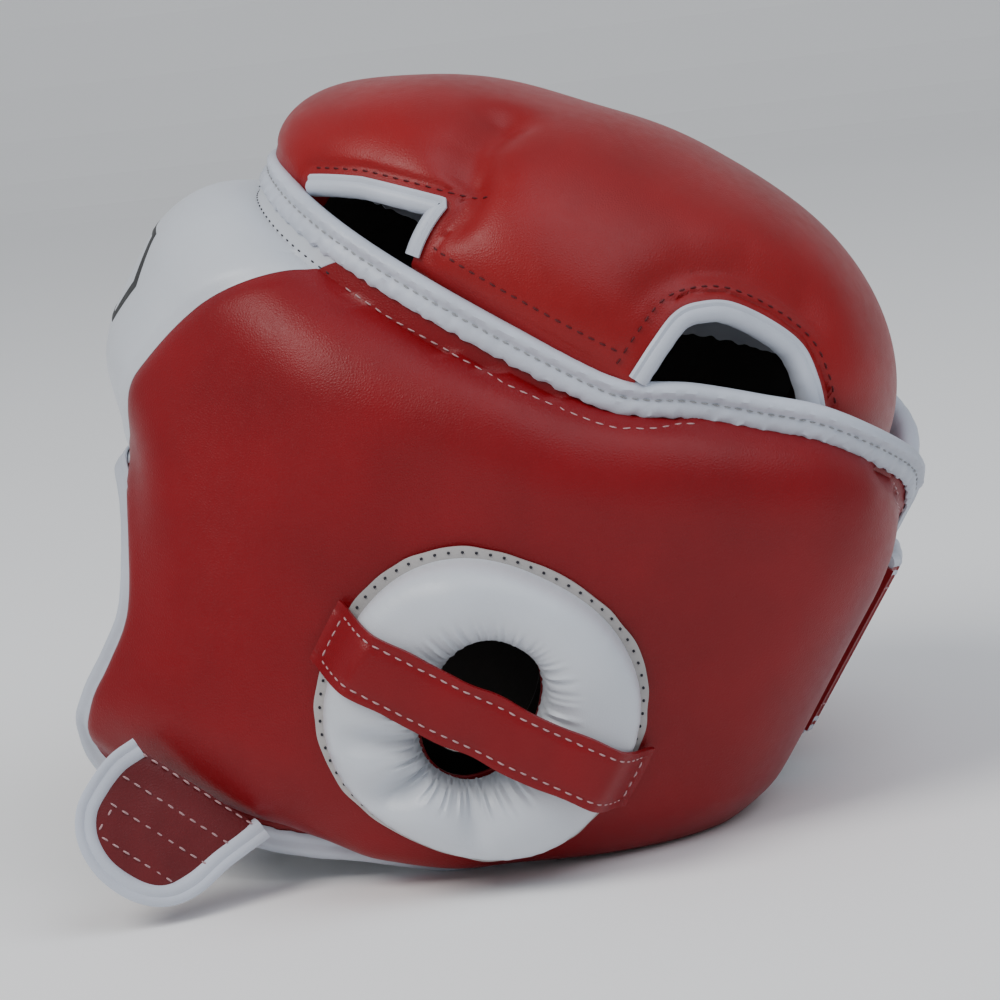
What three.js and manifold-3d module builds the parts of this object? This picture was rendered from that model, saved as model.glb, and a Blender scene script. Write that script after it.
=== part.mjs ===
// Boxing headgear: padded side wings, forehead pad and crown pad, bound at the edges,
// with ear rings, ear straps, a chin tab, a chin strap and a rear closure strap.
// Millimetres. The pieces are drawn as worn (face towards -Y, wearer's left +X, origin
// between the ear holes), then tipped back until the bottom edge rests on the ground.
import * as THREE from 'three';
import Module from 'manifold-3d';
import { mergeVertices } from 'three/addons/utils/BufferGeometryUtils.js';

const wasm = await Module();
wasm.setup();

// ---- driving dimensions -------------------------------------------------------------
const headFront = 100;            // mid-length datum to the brow, inside the lining
const headBack = 112;             // mid-length datum to the back of the head
const headHalfWidth = 81;
const headSquareness = 2.25;      // exponent of the plan outline, 2 is an ellipse
const jawTaper = 0.0011;          // how fast the jaw narrows below jawTaperStart
const jawTaperStart = -20;
const restTilt = 33;              // degrees the headgear tips back when it stands
const restEdgeY = 42;             // where the straight resting edge starts, as worn
const restEdgeZ = -54;

const coverWall = 1.4;            // leather cover
const liningWall = 1.4;
const layerGap = 0.3;             // clearance between layers and between neighbours
const marginThickness = 2 * layerGap + coverWall + liningWall;
const foreheadPad = 27;           // thickness of the band at the forehead
const sidePad = 22;               // over the cheek and the ear
const rearPad = 11;               // at the rear edge of a wing
const padEdgeRadius = 24;         // how far from a bound edge the pad is at full thickness
const seamMargin = 5;             // flat stitched margin along a bound edge

const bindingDepth = 3.7;         // how far the bead stands out past the panel edge
const bindingOver = 0.8;          // how far the bead stands proud of the layers
const bindingShoulder = 0.7;      // share of the bead's depth where it starts to round

const topEdge = 94;               // height of the band's top edge over the ear
const topEdgeRear = 111;          // and where it is highest, behind the rear vent
const jawBottom = -79;
const wingGap = 12;               // half the gap between the two wings at the back

const crownHeight = 57;           // from the crown's rim to its peak
const crownPad = 18;
const crownPeakY = 22;
const crownOverhang = 5;          // of the crown's rim past the band's inside, front and sides
const crownRearInset = 13;        // and how far inside it the rim sits at the back
const crownFront = headFront + crownPeakY + crownOverhang;
const crownRear = headBack - crownPeakY - crownRearInset;
const crownHalfWidth = headHalfWidth + crownOverhang;
const crownRimGap = 2.2;          // from the top binding up to the crown's rim
const crownBrowLift = 3.5;        // that the rim is higher over the brow

const earCentreY = 26;
const earHoleHalfLength = 15.5;
const earHoleHalfHeight = 22;
const earRingHalfLength = 42;
const earRingHalfHeight = 41.5;
const earRingHeight = 17;
const earFlange = 3.5;            // raw edge of the base plate outside the ring
const earBaseThickness = 1.2;
const earStrapWidth = 19;
const earStrapThickness = 1.6;
const earStrapOverhang = 3;       // past the ring's flange at each end
const earStrapClimb = 14.5;       // length over which each end climbs the ring
const earRingSquareness = 2.3;

const tabSeamFront = [-53, -58];  // y and z of the chin tab's seam on the cheek
const tabSeamRear = [-8, -66];
const tabWidth = 46;
const tabLength = 42;
const tabThickness = 2.6;
const tabFlare = 30;              // degrees the tab leans out at rest
const tabSeamTuck = 2.15;         // of the tab's seam line behind the cheek's bulge
const strapSeam = [-30, -59];     // y and z of the chin strap's seam
const strapWidth = 38;            // chin strap
const strapThickness = 2.6;
const strapDrop = 15;             // how far the chin strap hangs below its seam
const strapReach = 52;            // where the chin strap ends, past the middle

const rearStrapWidth = 56;
const rearStrapCentreZ = 46;
const rearStrapThickness = 2.4;
const rearStrapReach = 42;        // past the middle, over the right wing
const rearStrapStart = 24;        // where it is sewn on the left wing
const rearStrapLift = 2.0;        // off the wing's padding
const rearPatchStart = 18;        // from the middle to the hook patch
const strapSetback = 2.25;        // chin strap's front edge, inside the cheek's lining
const patchThickness = 1.1;       // hook and loop patches
const patchInset = 6;

// ---- small helpers ------------------------------------------------------------------
const rad = THREE.MathUtils.degToRad;
const vec = (x, y, z) => new THREE.Vector3(x, y, z);
const power = (value, exponent) => Math.sign(value) * Math.abs(value) ** exponent;
const mix = (a, b, t) => a + (b - a) * t;
const smooth = (low, high, value) => THREE.MathUtils.smoothstep(value, low, high);
const rise = (t) => Math.sqrt(1 - (1 - THREE.MathUtils.clamp(t, 0, 1)) ** 2);
const restSlope = Math.tan(rad(restTilt));

const materials = {
  redLeather: { color: 0x8e1820, roughness: 0.42 },
  whiteLeather: { color: 0xd9dde2, roughness: 0.4 },
  blackLining: { color: 0x17171a, roughness: 0.75 },
  foam: { color: 0x3b3b3e, roughness: 0.95 },
  hook: { color: 0x222225, roughness: 0.95 },
  loop: { color: 0x2b2b30, roughness: 1.0 },
};

const headgear = new THREE.Group();

function geometryOf(points, triangles) {
  const geometry = new THREE.BufferGeometry();
  const flat = points.flatMap((p) => [p.x, p.y, p.z]);
  geometry.setAttribute('position', new THREE.Float32BufferAttribute(flat, 3));
  geometry.setIndex(triangles);
  return geometry;
}

function volumeOf(geometry) {
  const position = geometry.attributes.position;
  const index = geometry.index;
  const corners = [vec(0, 0, 0), vec(0, 0, 0), vec(0, 0, 0)];
  let total = 0;
  for (let i = 0; i < index.count; i += 3) {
    corners.forEach((c, k) => c.fromBufferAttribute(position, index.getX(i + k)));
    total += corners[0].dot(corners[1].clone().cross(corners[2]));
  }
  return total;
}

function facingOut(geometry) {
  if (volumeOf(geometry) > 0) {
    return geometry;
  }
  const order = Array.from(geometry.index.array);
  for (let i = 0; i < order.length; i += 3) {
    [order[i], order[i + 1]] = [order[i + 1], order[i]];
  }
  geometry.setIndex(order);
  return geometry;
}

// A loft through loops of points; closed joins the last loop to the first.
function loft(loops, closed = false) {
  const size = loops[0].length;
  const points = loops.flat();
  const triangles = [];
  const spans = closed ? loops.length : loops.length - 1;
  for (let i = 0; i < spans; i += 1) {
    const a = i * size;
    const b = ((i + 1) % loops.length) * size;
    for (let j = 0; j < size; j += 1) {
      const k = (j + 1) % size;
      triangles.push(a + j, b + j, b + k, a + j, b + k, a + k);
    }
  }
  if (!closed) {
    for (const [loop, flip] of [[0, false], [loops.length - 1, true]]) {
      for (let j = 1; j < size - 1; j += 1) {
        const fan = [loop * size, loop * size + j, loop * size + j + 1];
        triangles.push(...(flip ? fan.reverse() : fan));
      }
    }
  }
  return facingOut(geometryOf(points, triangles));
}

// A closed sheet between two grids of points of the same size, rows by columns.
function sheet(inner, outer) {
  const rows = inner.length;
  const columns = inner[0].length;
  const points = [...inner.flat(), ...outer.flat()];
  const lift = rows * columns;
  const at = (i, j) => i * columns + j;
  const triangles = [];
  for (let i = 0; i < rows - 1; i += 1) {
    for (let j = 0; j < columns - 1; j += 1) {
      const [a, b, c, d] = [at(i, j), at(i, j + 1), at(i + 1, j + 1), at(i + 1, j)];
      triangles.push(a, c, b, a, d, c);
      triangles.push(lift + a, lift + b, lift + c, lift + a, lift + c, lift + d);
    }
  }
  const rim = [];
  for (let j = 0; j < columns - 1; j += 1) rim.push(at(0, j));
  for (let i = 0; i < rows - 1; i += 1) rim.push(at(i, columns - 1));
  for (let j = columns - 1; j > 0; j -= 1) rim.push(at(rows - 1, j));
  for (let i = rows - 1; i > 0; i -= 1) rim.push(at(i, 0));
  rim.forEach((a, n) => {
    const b = rim[(n + 1) % rim.length];
    triangles.push(a, b, lift + b, a, lift + b, lift + a);
  });
  return facingOut(geometryOf(points, triangles));
}

function solidOf(geometry) {
  const plain = geometry.clone();
  plain.deleteAttribute('normal');
  plain.deleteAttribute('uv');
  const merged = mergeVertices(plain, 1e-4);
  return new wasm.Manifold(new wasm.Mesh({
    numProp: 3,
    vertProperties: Float32Array.from(merged.attributes.position.array),
    triVerts: Uint32Array.from(merged.index.array),
  }));
}

function geometryFrom(solid) {
  const mesh = solid.getMesh();
  const geometry = new THREE.BufferGeometry();
  geometry.setAttribute('position', new THREE.BufferAttribute(mesh.vertProperties, 3));
  geometry.setIndex(new THREE.BufferAttribute(mesh.triVerts, 1));
  return geometry;
}

const cutBy = (geometry, cutter) => geometryFrom(solidOf(geometry).subtract(cutter));

function addPiece(name, material, geometry, mirrored = false) {
  if (mirrored) {
    geometry = geometry.clone().scale(-1, 1, 1);
    facingOut(geometry);
  }
  const finish = new THREE.MeshStandardMaterial({ ...materials[material], metalness: 0 });
  const mesh = new THREE.Mesh(geometry, finish);
  mesh.name = name;
  headgear.add(mesh);
}

function addPair(name, material, geometry) {
  addPiece(`${name}_left`, material, geometry);
  addPiece(`${name}_right`, material, geometry, true);
}

// ---- the band's surface -------------------------------------------------------------
function halfWidthAt(z) {
  return headHalfWidth - jawTaper * Math.max(0, jawTaperStart - z) ** 2;
}

// The point at an angle from the face, at height z, lift outside the lining.
function bandPoint(angle, z, lift) {
  const width = halfWidthAt(z);
  const length = Math.cos(rad(angle)) > 0 ? headFront : headBack;
  const x = width * power(Math.sin(rad(angle)), 2 / headSquareness);
  const y = -length * power(Math.cos(rad(angle)), 2 / headSquareness);
  const normal = vec(
    power(x / width, headSquareness - 1) / width,
    power(y / length, headSquareness - 1) / length,
    0,
  ).normalize();
  return vec(x, y, z).addScaledVector(normal, lift);
}

// The angle at which the band, lifted by so much, stands at a given y on the left.
function angleAtY(y, z, lift) {
  let low = 0;
  let high = 180;
  for (let i = 0; i < 30; i += 1) {
    const middle = (low + high) / 2;
    if (bandPoint(middle, z, lift).y < y) {
      low = middle;
    } else {
      high = middle;
    }
  }
  return (low + high) / 2;
}

const rearAngle = 180 - THREE.MathUtils.radToDeg(
  Math.asin((wingGap / headHalfWidth) ** (headSquareness / 2)),
);

// A smooth run of [angle, z] points through the chosen ones, evenly parted.
function run(points, count) {
  const curve = new THREE.SplineCurve(points.map(([a, z]) => new THREE.Vector2(a, z)));
  return curve.getSpacedPoints(count).map((p) => [p.x, p.y]);
}

// ---- outlines of the band, as [angle, z] --------------------------------------------
const seamTop = 55;                       // where the forehead meets the wing on top
const seamBottom = 26;                    // and at the brow
const browZ = 4;
const restEdgeAt = (angle) => {
  const y = bandPoint(angle, 0, 0).y;
  return restEdgeZ + bindingDepth + layerGap + (y - restEdgeY) * restSlope;
};

const topFront = [[0, topEdge + 3], [20, topEdge + 2.5], [38, topEdge + 1], [seamTop, topEdge]];
const topSide = [[seamTop, topEdge], [76, topEdge - 0.5], [95, topEdge - 0.5],
  [101, topEdge + 2], [108, topEdge + 8], [118, topEdge + 13], [130, topEdgeRear],
  [146, topEdgeRear - 1], [160, topEdgeRear - 5], [rearAngle - 5, topEdgeRear - 12]];
const seamSide = [[seamBottom, browZ - 5], [29, 16], [32, 34], [36, 52], [42, 70], [48, 84],
  [seamTop, topEdge]];
const faceSide = [[57, jawBottom], [50, jawBottom + 5], [47.5, -60], [47.5, -46], [46.5, -32],
  [41, -18], [34, -7], [seamBottom, browZ - 5]];
const browEdge = [[0, browZ], [14, browZ - 1], [seamBottom, browZ - 5]];
const jawEdge = [[57, jawBottom], [72, jawBottom + 5], [86, jawBottom + 9]];
const restAngle = angleAtY(restEdgeY, 0, 0);
const restRun = [restAngle, 118, 134, 150, rearAngle].map((a) => [a, restEdgeAt(a)]);
const bottomEdge = [[86, jawBottom + 9], [96, mix(jawBottom + 9, restEdgeAt(restAngle), 0.5)],
  ...restRun];
const rearTop = [rearAngle - 5, topEdgeRear - 12];
const rearEdge = [restRun[4], [rearAngle, 40], [rearAngle, topEdgeRear - 24], rearTop];

// ---- thickness of the padded band ---------------------------------------------------
function toPlane([angle, z]) {
  return bandPoint(angle, 0, 0).setZ(z);
}

function distanceTo(line, point) {
  const segment = new THREE.Line3();
  const nearest = vec(0, 0, 0);
  let best = Infinity;
  for (let i = 0; i < line.length - 1; i += 1) {
    segment.set(line[i], line[i + 1]).closestPointToPoint(point, true, nearest);
    best = Math.min(best, nearest.distanceTo(point));
  }
  return best;
}

const boundEdges = [[...topFront, ...topSide.slice(1)], [...faceSide], [...browEdge],
  [...jawEdge, ...bottomEdge.slice(1)], rearEdge].map((edge) => run(edge, 24).map(toPlane));

function fullPadAt(angle) {
  const side = Math.abs(angle);
  const front = mix(foreheadPad, sidePad, smooth(20, 60, side));
  return mix(front, rearPad, smooth(135, 168, side));
}

function padAt(angle, z) {
  const side = Math.abs(angle);
  const full = fullPadAt(angle);
  const point = toPlane([side, z]);
  const factor = boundEdges
    .map((edge) => rise((distanceTo(edge, point) - seamMargin) / padEdgeRadius))
    .reduce((a, b) => a * b, 1);
  return mix(marginThickness, full, factor);
}

// ---- panels: lining, foam and cover between four edges -------------------------------
const spacing = [0, 0.06, 0.13, 0.22, 0.35, 0.5, 0.65, 0.78, 0.87, 0.94, 1];
const browRow = 5;                // the grid row that meets the brow corner
const napeRow = 6;                // and the one that meets the nape corner
const seamGap = 0.6;              // degrees between the forehead and a wing
const foamSetback = 2;            // foam kept back from the ear hole's edge

function along(points, fractions) {
  const curve = new THREE.SplineCurve(points.map(([a, z]) => new THREE.Vector2(a, z)));
  return fractions.map((f) => curve.getPointAt(f));
}

function patch(bottom, top, left, right) {
  const rows = spacing.length;
  return spacing.map((v, i) => spacing.map((u, j) => {
    const blend = (k) => {
      const [b, t, l, r] = [bottom[j][k], top[j][k], left[i][k], right[i][k]];
      const corner = mix(
        mix(bottom[0][k], bottom[rows - 1][k], u), mix(top[0][k], top[rows - 1][k], u), v,
      );
      return mix(b, t, v) + mix(l, r, u) - corner;
    };
    return [blend('x'), blend('y')];
  }));
}

function layers(grid) {
  const last = grid.length - 1;
  const pads = grid.map((row, i) => row.map(([a, z], j) => {
    const inside = i > 0 && j > 0 && i < last && j < last;
    return Math.max(padAt(a, z), inside ? marginThickness + 3 : 0);
  }));
  const level = (lift) => grid.map((row, i) => row.map(
    ([a, z], j) => bandPoint(a, z, lift(pads[i][j])),
  ));
  const inset = (points) => points.slice(1, -1).map((row) => row.slice(1, -1));
  return {
    lining: sheet(level(() => 0), level(() => liningWall)),
    foam: sheet(
      inset(level(() => liningWall + layerGap)),
      inset(level((pad) => pad - coverWall - layerGap)),
    ),
    cover: sheet(level((pad) => pad - coverWall), level((pad) => pad)),
  };
}

const mirrorRun = (points) => points.map(([a, z]) => [-a, z]).reverse();

// Two edges end to end, with their shared corner on the given row.
function alongBoth(first, second, corner) {
  const part = spacing[corner];
  return [
    ...along(first, spacing.slice(0, corner + 1).map((f) => f / part)),
    ...along(second, spacing.slice(corner + 1).map((f) => (f - part) / (1 - part))),
  ];
}

function foreheadGrid() {
  const seam = seamSide.map(([a, z]) => [a - seamGap, z]);
  const brow = browEdge.map(([a, z]) => [a * (1 - seamGap / seamBottom), z]);
  const top = topFront.map(([a, z]) => [a * (1 - seamGap / seamTop), z]);
  const flip = (points) => points.map(([a, z]) => [-a, z]);
  return patch(
    along([...mirrorRun(brow).slice(0, -1), ...brow], spacing),
    along([...mirrorRun(top).slice(0, -1), ...top], spacing),
    along(flip(seam), spacing),
    along(seam, spacing),
  );
}

function wingGrid() {
  return patch(
    along(jawEdge, spacing),
    along(topSide, spacing),
    alongBoth(faceSide, seamSide, browRow),
    alongBoth(bottomEdge, rearEdge, napeRow),
  );
}

const forehead = foreheadGrid();
const wing = wingGrid();

function bandPanels() {
  const front = layers(forehead);
  addPiece('forehead_cover', 'whiteLeather', front.cover);
  addPiece('forehead_foam', 'foam', front.foam);
  addPiece('forehead_lining', 'blackLining', front.lining);
  const side = layers(wing);
  addPair('side_cover', 'redLeather', cutBy(side.cover, earCutter(0)));
  addPair('side_foam', 'foam', cutBy(side.foam, earCutter(foamSetback)));
  addPair('side_lining', 'blackLining', cutBy(side.lining, earCutter(0)));
}

// ---- ear hole, ring and strap ---------------------------------------------------------
const earAngle = angleAtY(earCentreY, 0, sidePad);
const earOrigin = bandPoint(earAngle, 0, 0);
const earNormal = bandPoint(earAngle, 0, 1).sub(earOrigin).normalize();

function earCutter(clearance) {
  const throughWing = 100;
  const shape = new THREE.CylinderGeometry(1, 1, throughWing, 20);
  shape.scale(earHoleHalfLength + clearance, 1, earHoleHalfHeight + clearance);
  shape.rotateZ(-Math.PI / 2).rotateX(Math.PI / 2).rotateX(Math.PI / 2);
  const turn = new THREE.Quaternion().setFromUnitVectors(vec(1, 0, 0), earNormal);
  shape.applyQuaternion(turn).translate(earOrigin.x, earOrigin.y, earOrigin.z);
  return solidOf(shape);
}

// A point over the ear: y and z across the ring's face, lift off the side cover.
function earPoint(y, z, lift) {
  const seat = sidePad + layerGap * 2;
  return bandPoint(angleAtY(y, 0, seat), z, seat + lift);
}

const ringSteps = 24;
function earOutline(halfLength, halfHeight, step) {
  const turn = (step / ringSteps) * Math.PI * 2;
  const squareness = 2 / earRingSquareness;
  return [
    earCentreY + halfLength * power(Math.cos(turn), squareness),
    halfHeight * power(Math.sin(turn), squareness),
  ];
}

function ringLoop(step, profile) {
  const hole = earOutline(earHoleHalfLength, earHoleHalfHeight, step);
  const rim = earOutline(earRingHalfLength, earRingHalfHeight, step);
  return profile.map(([across, lift]) => earPoint(
    mix(hole[0], rim[0], across), mix(hole[1], rim[1], across), lift,
  ));
}

// The ring's section: [share of the way from hole to rim, lift off the side cover].
function ringProfile(inset, base) {
  const wall = earRingHalfLength - earHoleHalfLength;
  const arc = [0, 0.14, 0.3, 0.5, 0.7, 0.86, 1];
  return arc.map((t) => [
    0.5 - (0.5 - inset / wall) * Math.cos(t * Math.PI),
    base + (earRingHeight - base - inset) * Math.sin(t * Math.PI) ** 0.75,
  ]);
}

function earRing() {
  const base = earBaseThickness + layerGap * 2;
  const steps = Array.from({ length: ringSteps }, (_, i) => i);
  const outer = ringProfile(0, base);
  const inner = ringProfile(coverWall + layerGap, base).reverse();
  const core = ringProfile(coverWall + layerGap * 3, base + layerGap);
  const plateIn = 0.12;
  const plateOut = 1 + earFlange / (earRingHalfLength - earHoleHalfLength);
  const plate = [[plateIn, 0], [plateOut, 0], [plateOut, earBaseThickness],
    [plateIn, earBaseThickness]];
  addPair('ear_ring_cover', 'whiteLeather',
    loft(steps.map((i) => ringLoop(i, [...outer, ...inner])), true));
  addPair('ear_ring_foam', 'foam', loft(steps.map((i) => ringLoop(i, core)), true));
  addPair('ear_base', 'whiteLeather', loft(steps.map((i) => ringLoop(i, plate)), true));
}

function earStrap() {
  const reach = earRingHalfLength + earFlange + earStrapOverhang;
  const stations = [-1, -0.96, -0.86, -0.72, -0.5, -0.25, 0, 0.25, 0.5, 0.72, 0.86, 0.96, 1];
  const low = earBaseThickness + layerGap * 2;
  const high = earRingHeight + layerGap * 3;
  const height = (s) => mix(low, high, smooth(0, 1, (reach * (1 - Math.abs(s))) / earStrapClimb));
  const row = (lift) => stations.map((s) => [-1, 0, 1].map((w) => earPoint(
    earCentreY + s * reach, w * earStrapWidth / 2, height(s) + lift,
  )));
  addPair('ear_strap', 'redLeather', sheet(row(0), row(earStrapThickness)));
}

// ---- edge bindings --------------------------------------------------------------------
// A bead past the panels' edge along a run of [angle, z] points; side picks the way out.
function bead(points, side) {
  const base = points.map(([a, z]) => bandPoint(a, z, 0));
  return loft(points.map(([a, z], i) => {
    const before = base[Math.max(0, i - 1)];
    const after = base[Math.min(base.length - 1, i + 1)];
    const normal = bandPoint(a, z, 1).sub(base[i]).normalize();
    const out = after.clone().sub(before).cross(normal).normalize().multiplyScalar(side);
    const high = marginThickness + bindingOver;
    const shoulder = bindingDepth * bindingShoulder;
    const ring = [[layerGap, -bindingOver], [shoulder, -bindingOver],
      [bindingDepth, 0.3], [bindingDepth, marginThickness - 0.3],
      [shoulder, high], [layerGap, high]];
    return ring.map(([o, h]) => base[i].clone().addScaledVector(out, o)
      .addScaledVector(normal, h));
  }));
}

// The half space under the ground that the headgear stands on, in the worn position.
function groundCutter() {
  const depth = 60;
  const breadth = 600;
  const block = new THREE.BoxGeometry(breadth, breadth, depth);
  block.translate(0, 0, -depth / 2).rotateX(rad(restTilt));
  block.translate(0, restEdgeY, restEdgeZ);
  return solidOf(block);
}

function bindings() {
  const last = spacing.length - 1;
  const wingTop = wing[last];
  const wingFace = wing.slice(0, browRow + 1).map((row) => row[0]);
  const wingRear = wing.map((row) => row[last]);
  const top = [...mirrorRun(wingTop), ...forehead[last].slice(1, -1), ...wingTop];
  const brow = forehead[0].slice(1, -1).reverse();
  const face = [...wingFace, ...brow, ...mirrorRun(wingFace)];
  const rim = [...wing[0], ...wingRear.slice(1)];
  addPiece('top_binding', 'whiteLeather', bead(top, -1));
  addPiece('face_binding', 'whiteLeather', bead(face.slice(1, -1), -1));
  const strip = solidOf(bead(rim.slice(1, -1), 1)).subtract(groundCutter());
  addPair('wing_binding', 'whiteLeather', geometryFrom(strip));
}

// ---- crown pad ------------------------------------------------------------------------
// The rim as [turn, rise] pairs in degrees over the crown's dome, with a notch at each vent.
const frontVent = [[32, 0], [43, 9], [50, 13], [57, 17], [58.5, 0]];
const rearVent = [[91, 0], [92, 12], [93.5, 21], [97, 26], [104, 30], [115, 30], [125, 27],
  [131, 20], [136, 11]];
const rearTuck = -12;             // degrees that the rear lobe tucks in behind the wings
const crownRim = [[0, 0], [16, 0], ...frontVent, [69, 0], [80, 0], ...rearVent,
  [138, rearTuck], [152, rearTuck], [166, rearTuck], [180, rearTuck]];

function crownPoint(turn, climb, depth) {
  const front = Math.abs(turn) < 90;
  const exponent = 2 / (front ? headSquareness : 2);
  const length = (front ? crownFront : crownRear) - depth;
  const x = (crownHalfWidth - depth) * power(Math.sin(rad(turn)), exponent);
  const y = -length * power(Math.cos(rad(turn)), exponent);
  const seat = topEdge + bindingDepth + crownRimGap;
  const rimZ = seat + crownBrowLift * Math.max(0, Math.cos(rad(turn))) ** 2;
  const top = seat + crownHeight - depth;
  return vec(
    x * Math.cos(rad(climb)),
    crownPeakY + y * Math.cos(rad(climb)),
    mix(rimZ, top, Math.sin(rad(climb))),
  );
}

function crown() {
  const rows = [0, 0.12, 0.28, 0.46, 0.66, 0.84, 0.97];
  const thickness = [marginThickness, 10, 15, crownPad, crownPad, crownPad, crownPad];
  const rim = [...crownRim.slice(1, -1).map(([a, c]) => [-a, c]).reverse(), ...crownRim];
  const rings = (first, depth) => rows.slice(first).map((f, i) => rim.map(
    ([turn, climb]) => crownPoint(turn, mix(climb, 90, f), depth(thickness[first + i])),
  ));
  addPiece('crown_cover', 'redLeather', crownShell(rings(0, () => coverWall), rings(0, () => 0)));
  addPiece('crown_foam', 'foam', crownShell(
    rings(1, (pad) => pad - liningWall - layerGap), rings(1, () => coverWall + layerGap),
  ));
  addPiece('crown_lining', 'blackLining', crownShell(
    rings(0, (pad) => pad), rings(0, (pad) => pad - liningWall),
  ));
}

// A dome-shaped layer between two stacks of loops, each closed by a peak point.
function crownShell(inner, outer) {
  const rows = inner.length;
  const size = inner[0].length;
  const peakOf = (loop) => loop.reduce((sum, p) => sum.add(p), vec(0, 0, 0))
    .divideScalar(size);
  const points = [...inner.flat(), peakOf(inner[rows - 1]), ...outer.flat(),
    peakOf(outer[rows - 1])];
  const lift = rows * size + 1;
  const triangles = [];
  for (let j = 0; j < size; j += 1) {
    const k = (j + 1) % size;
    for (let i = 0; i < rows; i += 1) {
      const last = i === rows - 1;
      const [a, b] = [i * size + j, i * size + k];
      const [c, d] = last ? [rows * size, rows * size] : [a + size, b + size];
      triangles.push(a, d, b, lift + a, lift + b, lift + d);
      if (!last) triangles.push(a, c, d, lift + a, lift + d, lift + c);
    }
    triangles.push(j, k, lift + k, j, lift + k, lift + j);
  }
  return facingOut(geometryOf(points, triangles));
}

function ventBinding(name, notch) {
  const count = notch.length - 1;
  const loops = notch.map(([turn, climb], i) => {
    const at = crownPoint(turn, climb, 0);
    const before = notch[Math.max(0, i - 1)];
    const after = notch[Math.min(count, i + 1)];
    const way = crownPoint(after[0], after[1], 0).sub(crownPoint(before[0], before[1], 0));
    const inward = crownPoint(turn, climb, 1).sub(at).normalize();
    const out = way.cross(inward).normalize();
    const shoulder = bindingDepth * bindingShoulder;
    return [[layerGap, -bindingOver], [shoulder, -bindingOver],
      [bindingDepth, 1], [shoulder, marginThickness + bindingOver],
      [layerGap, marginThickness + bindingOver]]
      .map(([o, h]) => at.clone().addScaledVector(out, -o).addScaledVector(inward, h));
  });
  addPair(name, 'whiteLeather', loft(loops));
}

// ---- chin tab on the left, chin strap on the right ---------------------------------------
// Both are sewn along a line on the cheek; across runs along it and down hangs from it.
function cheekPoint(y, z, lift) {
  const angle = angleAtY(y, z, sidePad / 2);
  return bandPoint(angle, z, padAt(angle, z) + lift);
}

// How far the cheek stands out past the straight line between the tab seam's two ends.
function cheekBulge() {
  const [start, end] = [cheekPoint(...tabSeamFront, 0), cheekPoint(...tabSeamRear, 0)];
  const outward = vec(end.y - start.y, start.x - end.x, 0).normalize();
  return Math.max(...[0.2, 0.35, 0.5, 0.65, 0.8].map((t) => {
    const flat = start.clone().lerp(end, t);
    return cheekPoint(flat.y, flat.z, 0).sub(flat).dot(outward);
  }));
}

const tabSeamLift = cheekBulge() - tabSeamTuck;
const tabSeamStart = cheekPoint(...tabSeamFront, tabSeamLift);
const tabSeamEnd = cheekPoint(...tabSeamRear, tabSeamLift);
const tabAcross = tabSeamEnd.clone().sub(tabSeamStart).normalize();

function tabFrame(flare) {
  const flat = vec(tabAcross.x, tabAcross.y, 0).normalize();
  const outward = vec(-flat.y, flat.x, 0).negate();
  if (outward.x < 0) outward.negate();
  const down = tabAcross.clone().cross(outward).normalize();
  if (down.z > 0) down.negate();
  const out = down.clone().cross(tabAcross).normalize();
  if (out.x < 0) out.negate();
  const lean = rad(flare);
  return {
    down: down.clone().multiplyScalar(Math.cos(lean)).addScaledVector(out, Math.sin(lean)),
    out: out.clone().multiplyScalar(Math.cos(lean)).addScaledVector(down, -Math.sin(lean)),
  };
}

// The tab's edge as shares of its width along the seam and of its length down from it.
const tabOutline = [[0, 0], [-0.07, 0.21], [-0.09, 0.45], [-0.07, 0.67], [0.04, 0.86],
  [0.24, 0.98], [0.48, 0.99], [0.67, 0.89], [0.79, 0.69], [0.87, 0.38], [1, 0]];
const tabMiddle = 0.48;
const tabPlateShare = 0.9;        // of the outline that the plate inside the binding fills
const tabBindingWidth = 3.6;

function chinTab() {
  const { down, out } = tabFrame(tabFlare);
  const start = tabSeamStart.clone().addScaledVector(out, 1.2);
  const place = ([a, b], h) => start.clone().addScaledVector(tabAcross, a)
    .addScaledVector(down, b).addScaledVector(out, h);
  const inset = tabOutline.map(([a, b]) => [
    tabWidth * mix(tabMiddle, a, tabPlateShare), tabLength * tabPlateShare * b + 1,
  ]);
  const plate = (h) => inset.map((p) => place(p, h));
  addPiece('chin_tab', 'redLeather', loft([plate(0), plate(tabThickness)]));
  const hook = tabOutline.slice(1, -1).map(([a, b]) => [
    tabWidth * mix(tabMiddle, a, 0.62), tabLength * mix(0.52, b, 0.55),
  ]);
  addPiece('chin_tab_hook_patch', 'hook', loft([
    hook.map((p) => place(p, -layerGap - patchThickness)),
    hook.map((p) => place(p, -layerGap)),
  ]));
  const ring = inset.map(([a, b], i) => {
    const [a0, b0] = inset[Math.max(0, i - 1)];
    const [a1, b1] = inset[Math.min(inset.length - 1, i + 1)];
    const length = Math.hypot(a1 - a0, b1 - b0);
    const way = [-(b1 - b0) / length, (a1 - a0) / length];
    const [low, high] = [-bindingOver, tabThickness + bindingOver];
    const shoulder = tabBindingWidth * 0.83;
    return [[layerGap, low], [shoulder, low], [tabBindingWidth, tabThickness / 2],
      [shoulder, high], [layerGap, high]]
      .map(([o, h]) => place([a + way[0] * o, b + way[1] * o], h));
  });
  addPiece('chin_tab_binding', 'whiteLeather', loft(ring));
}

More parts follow.
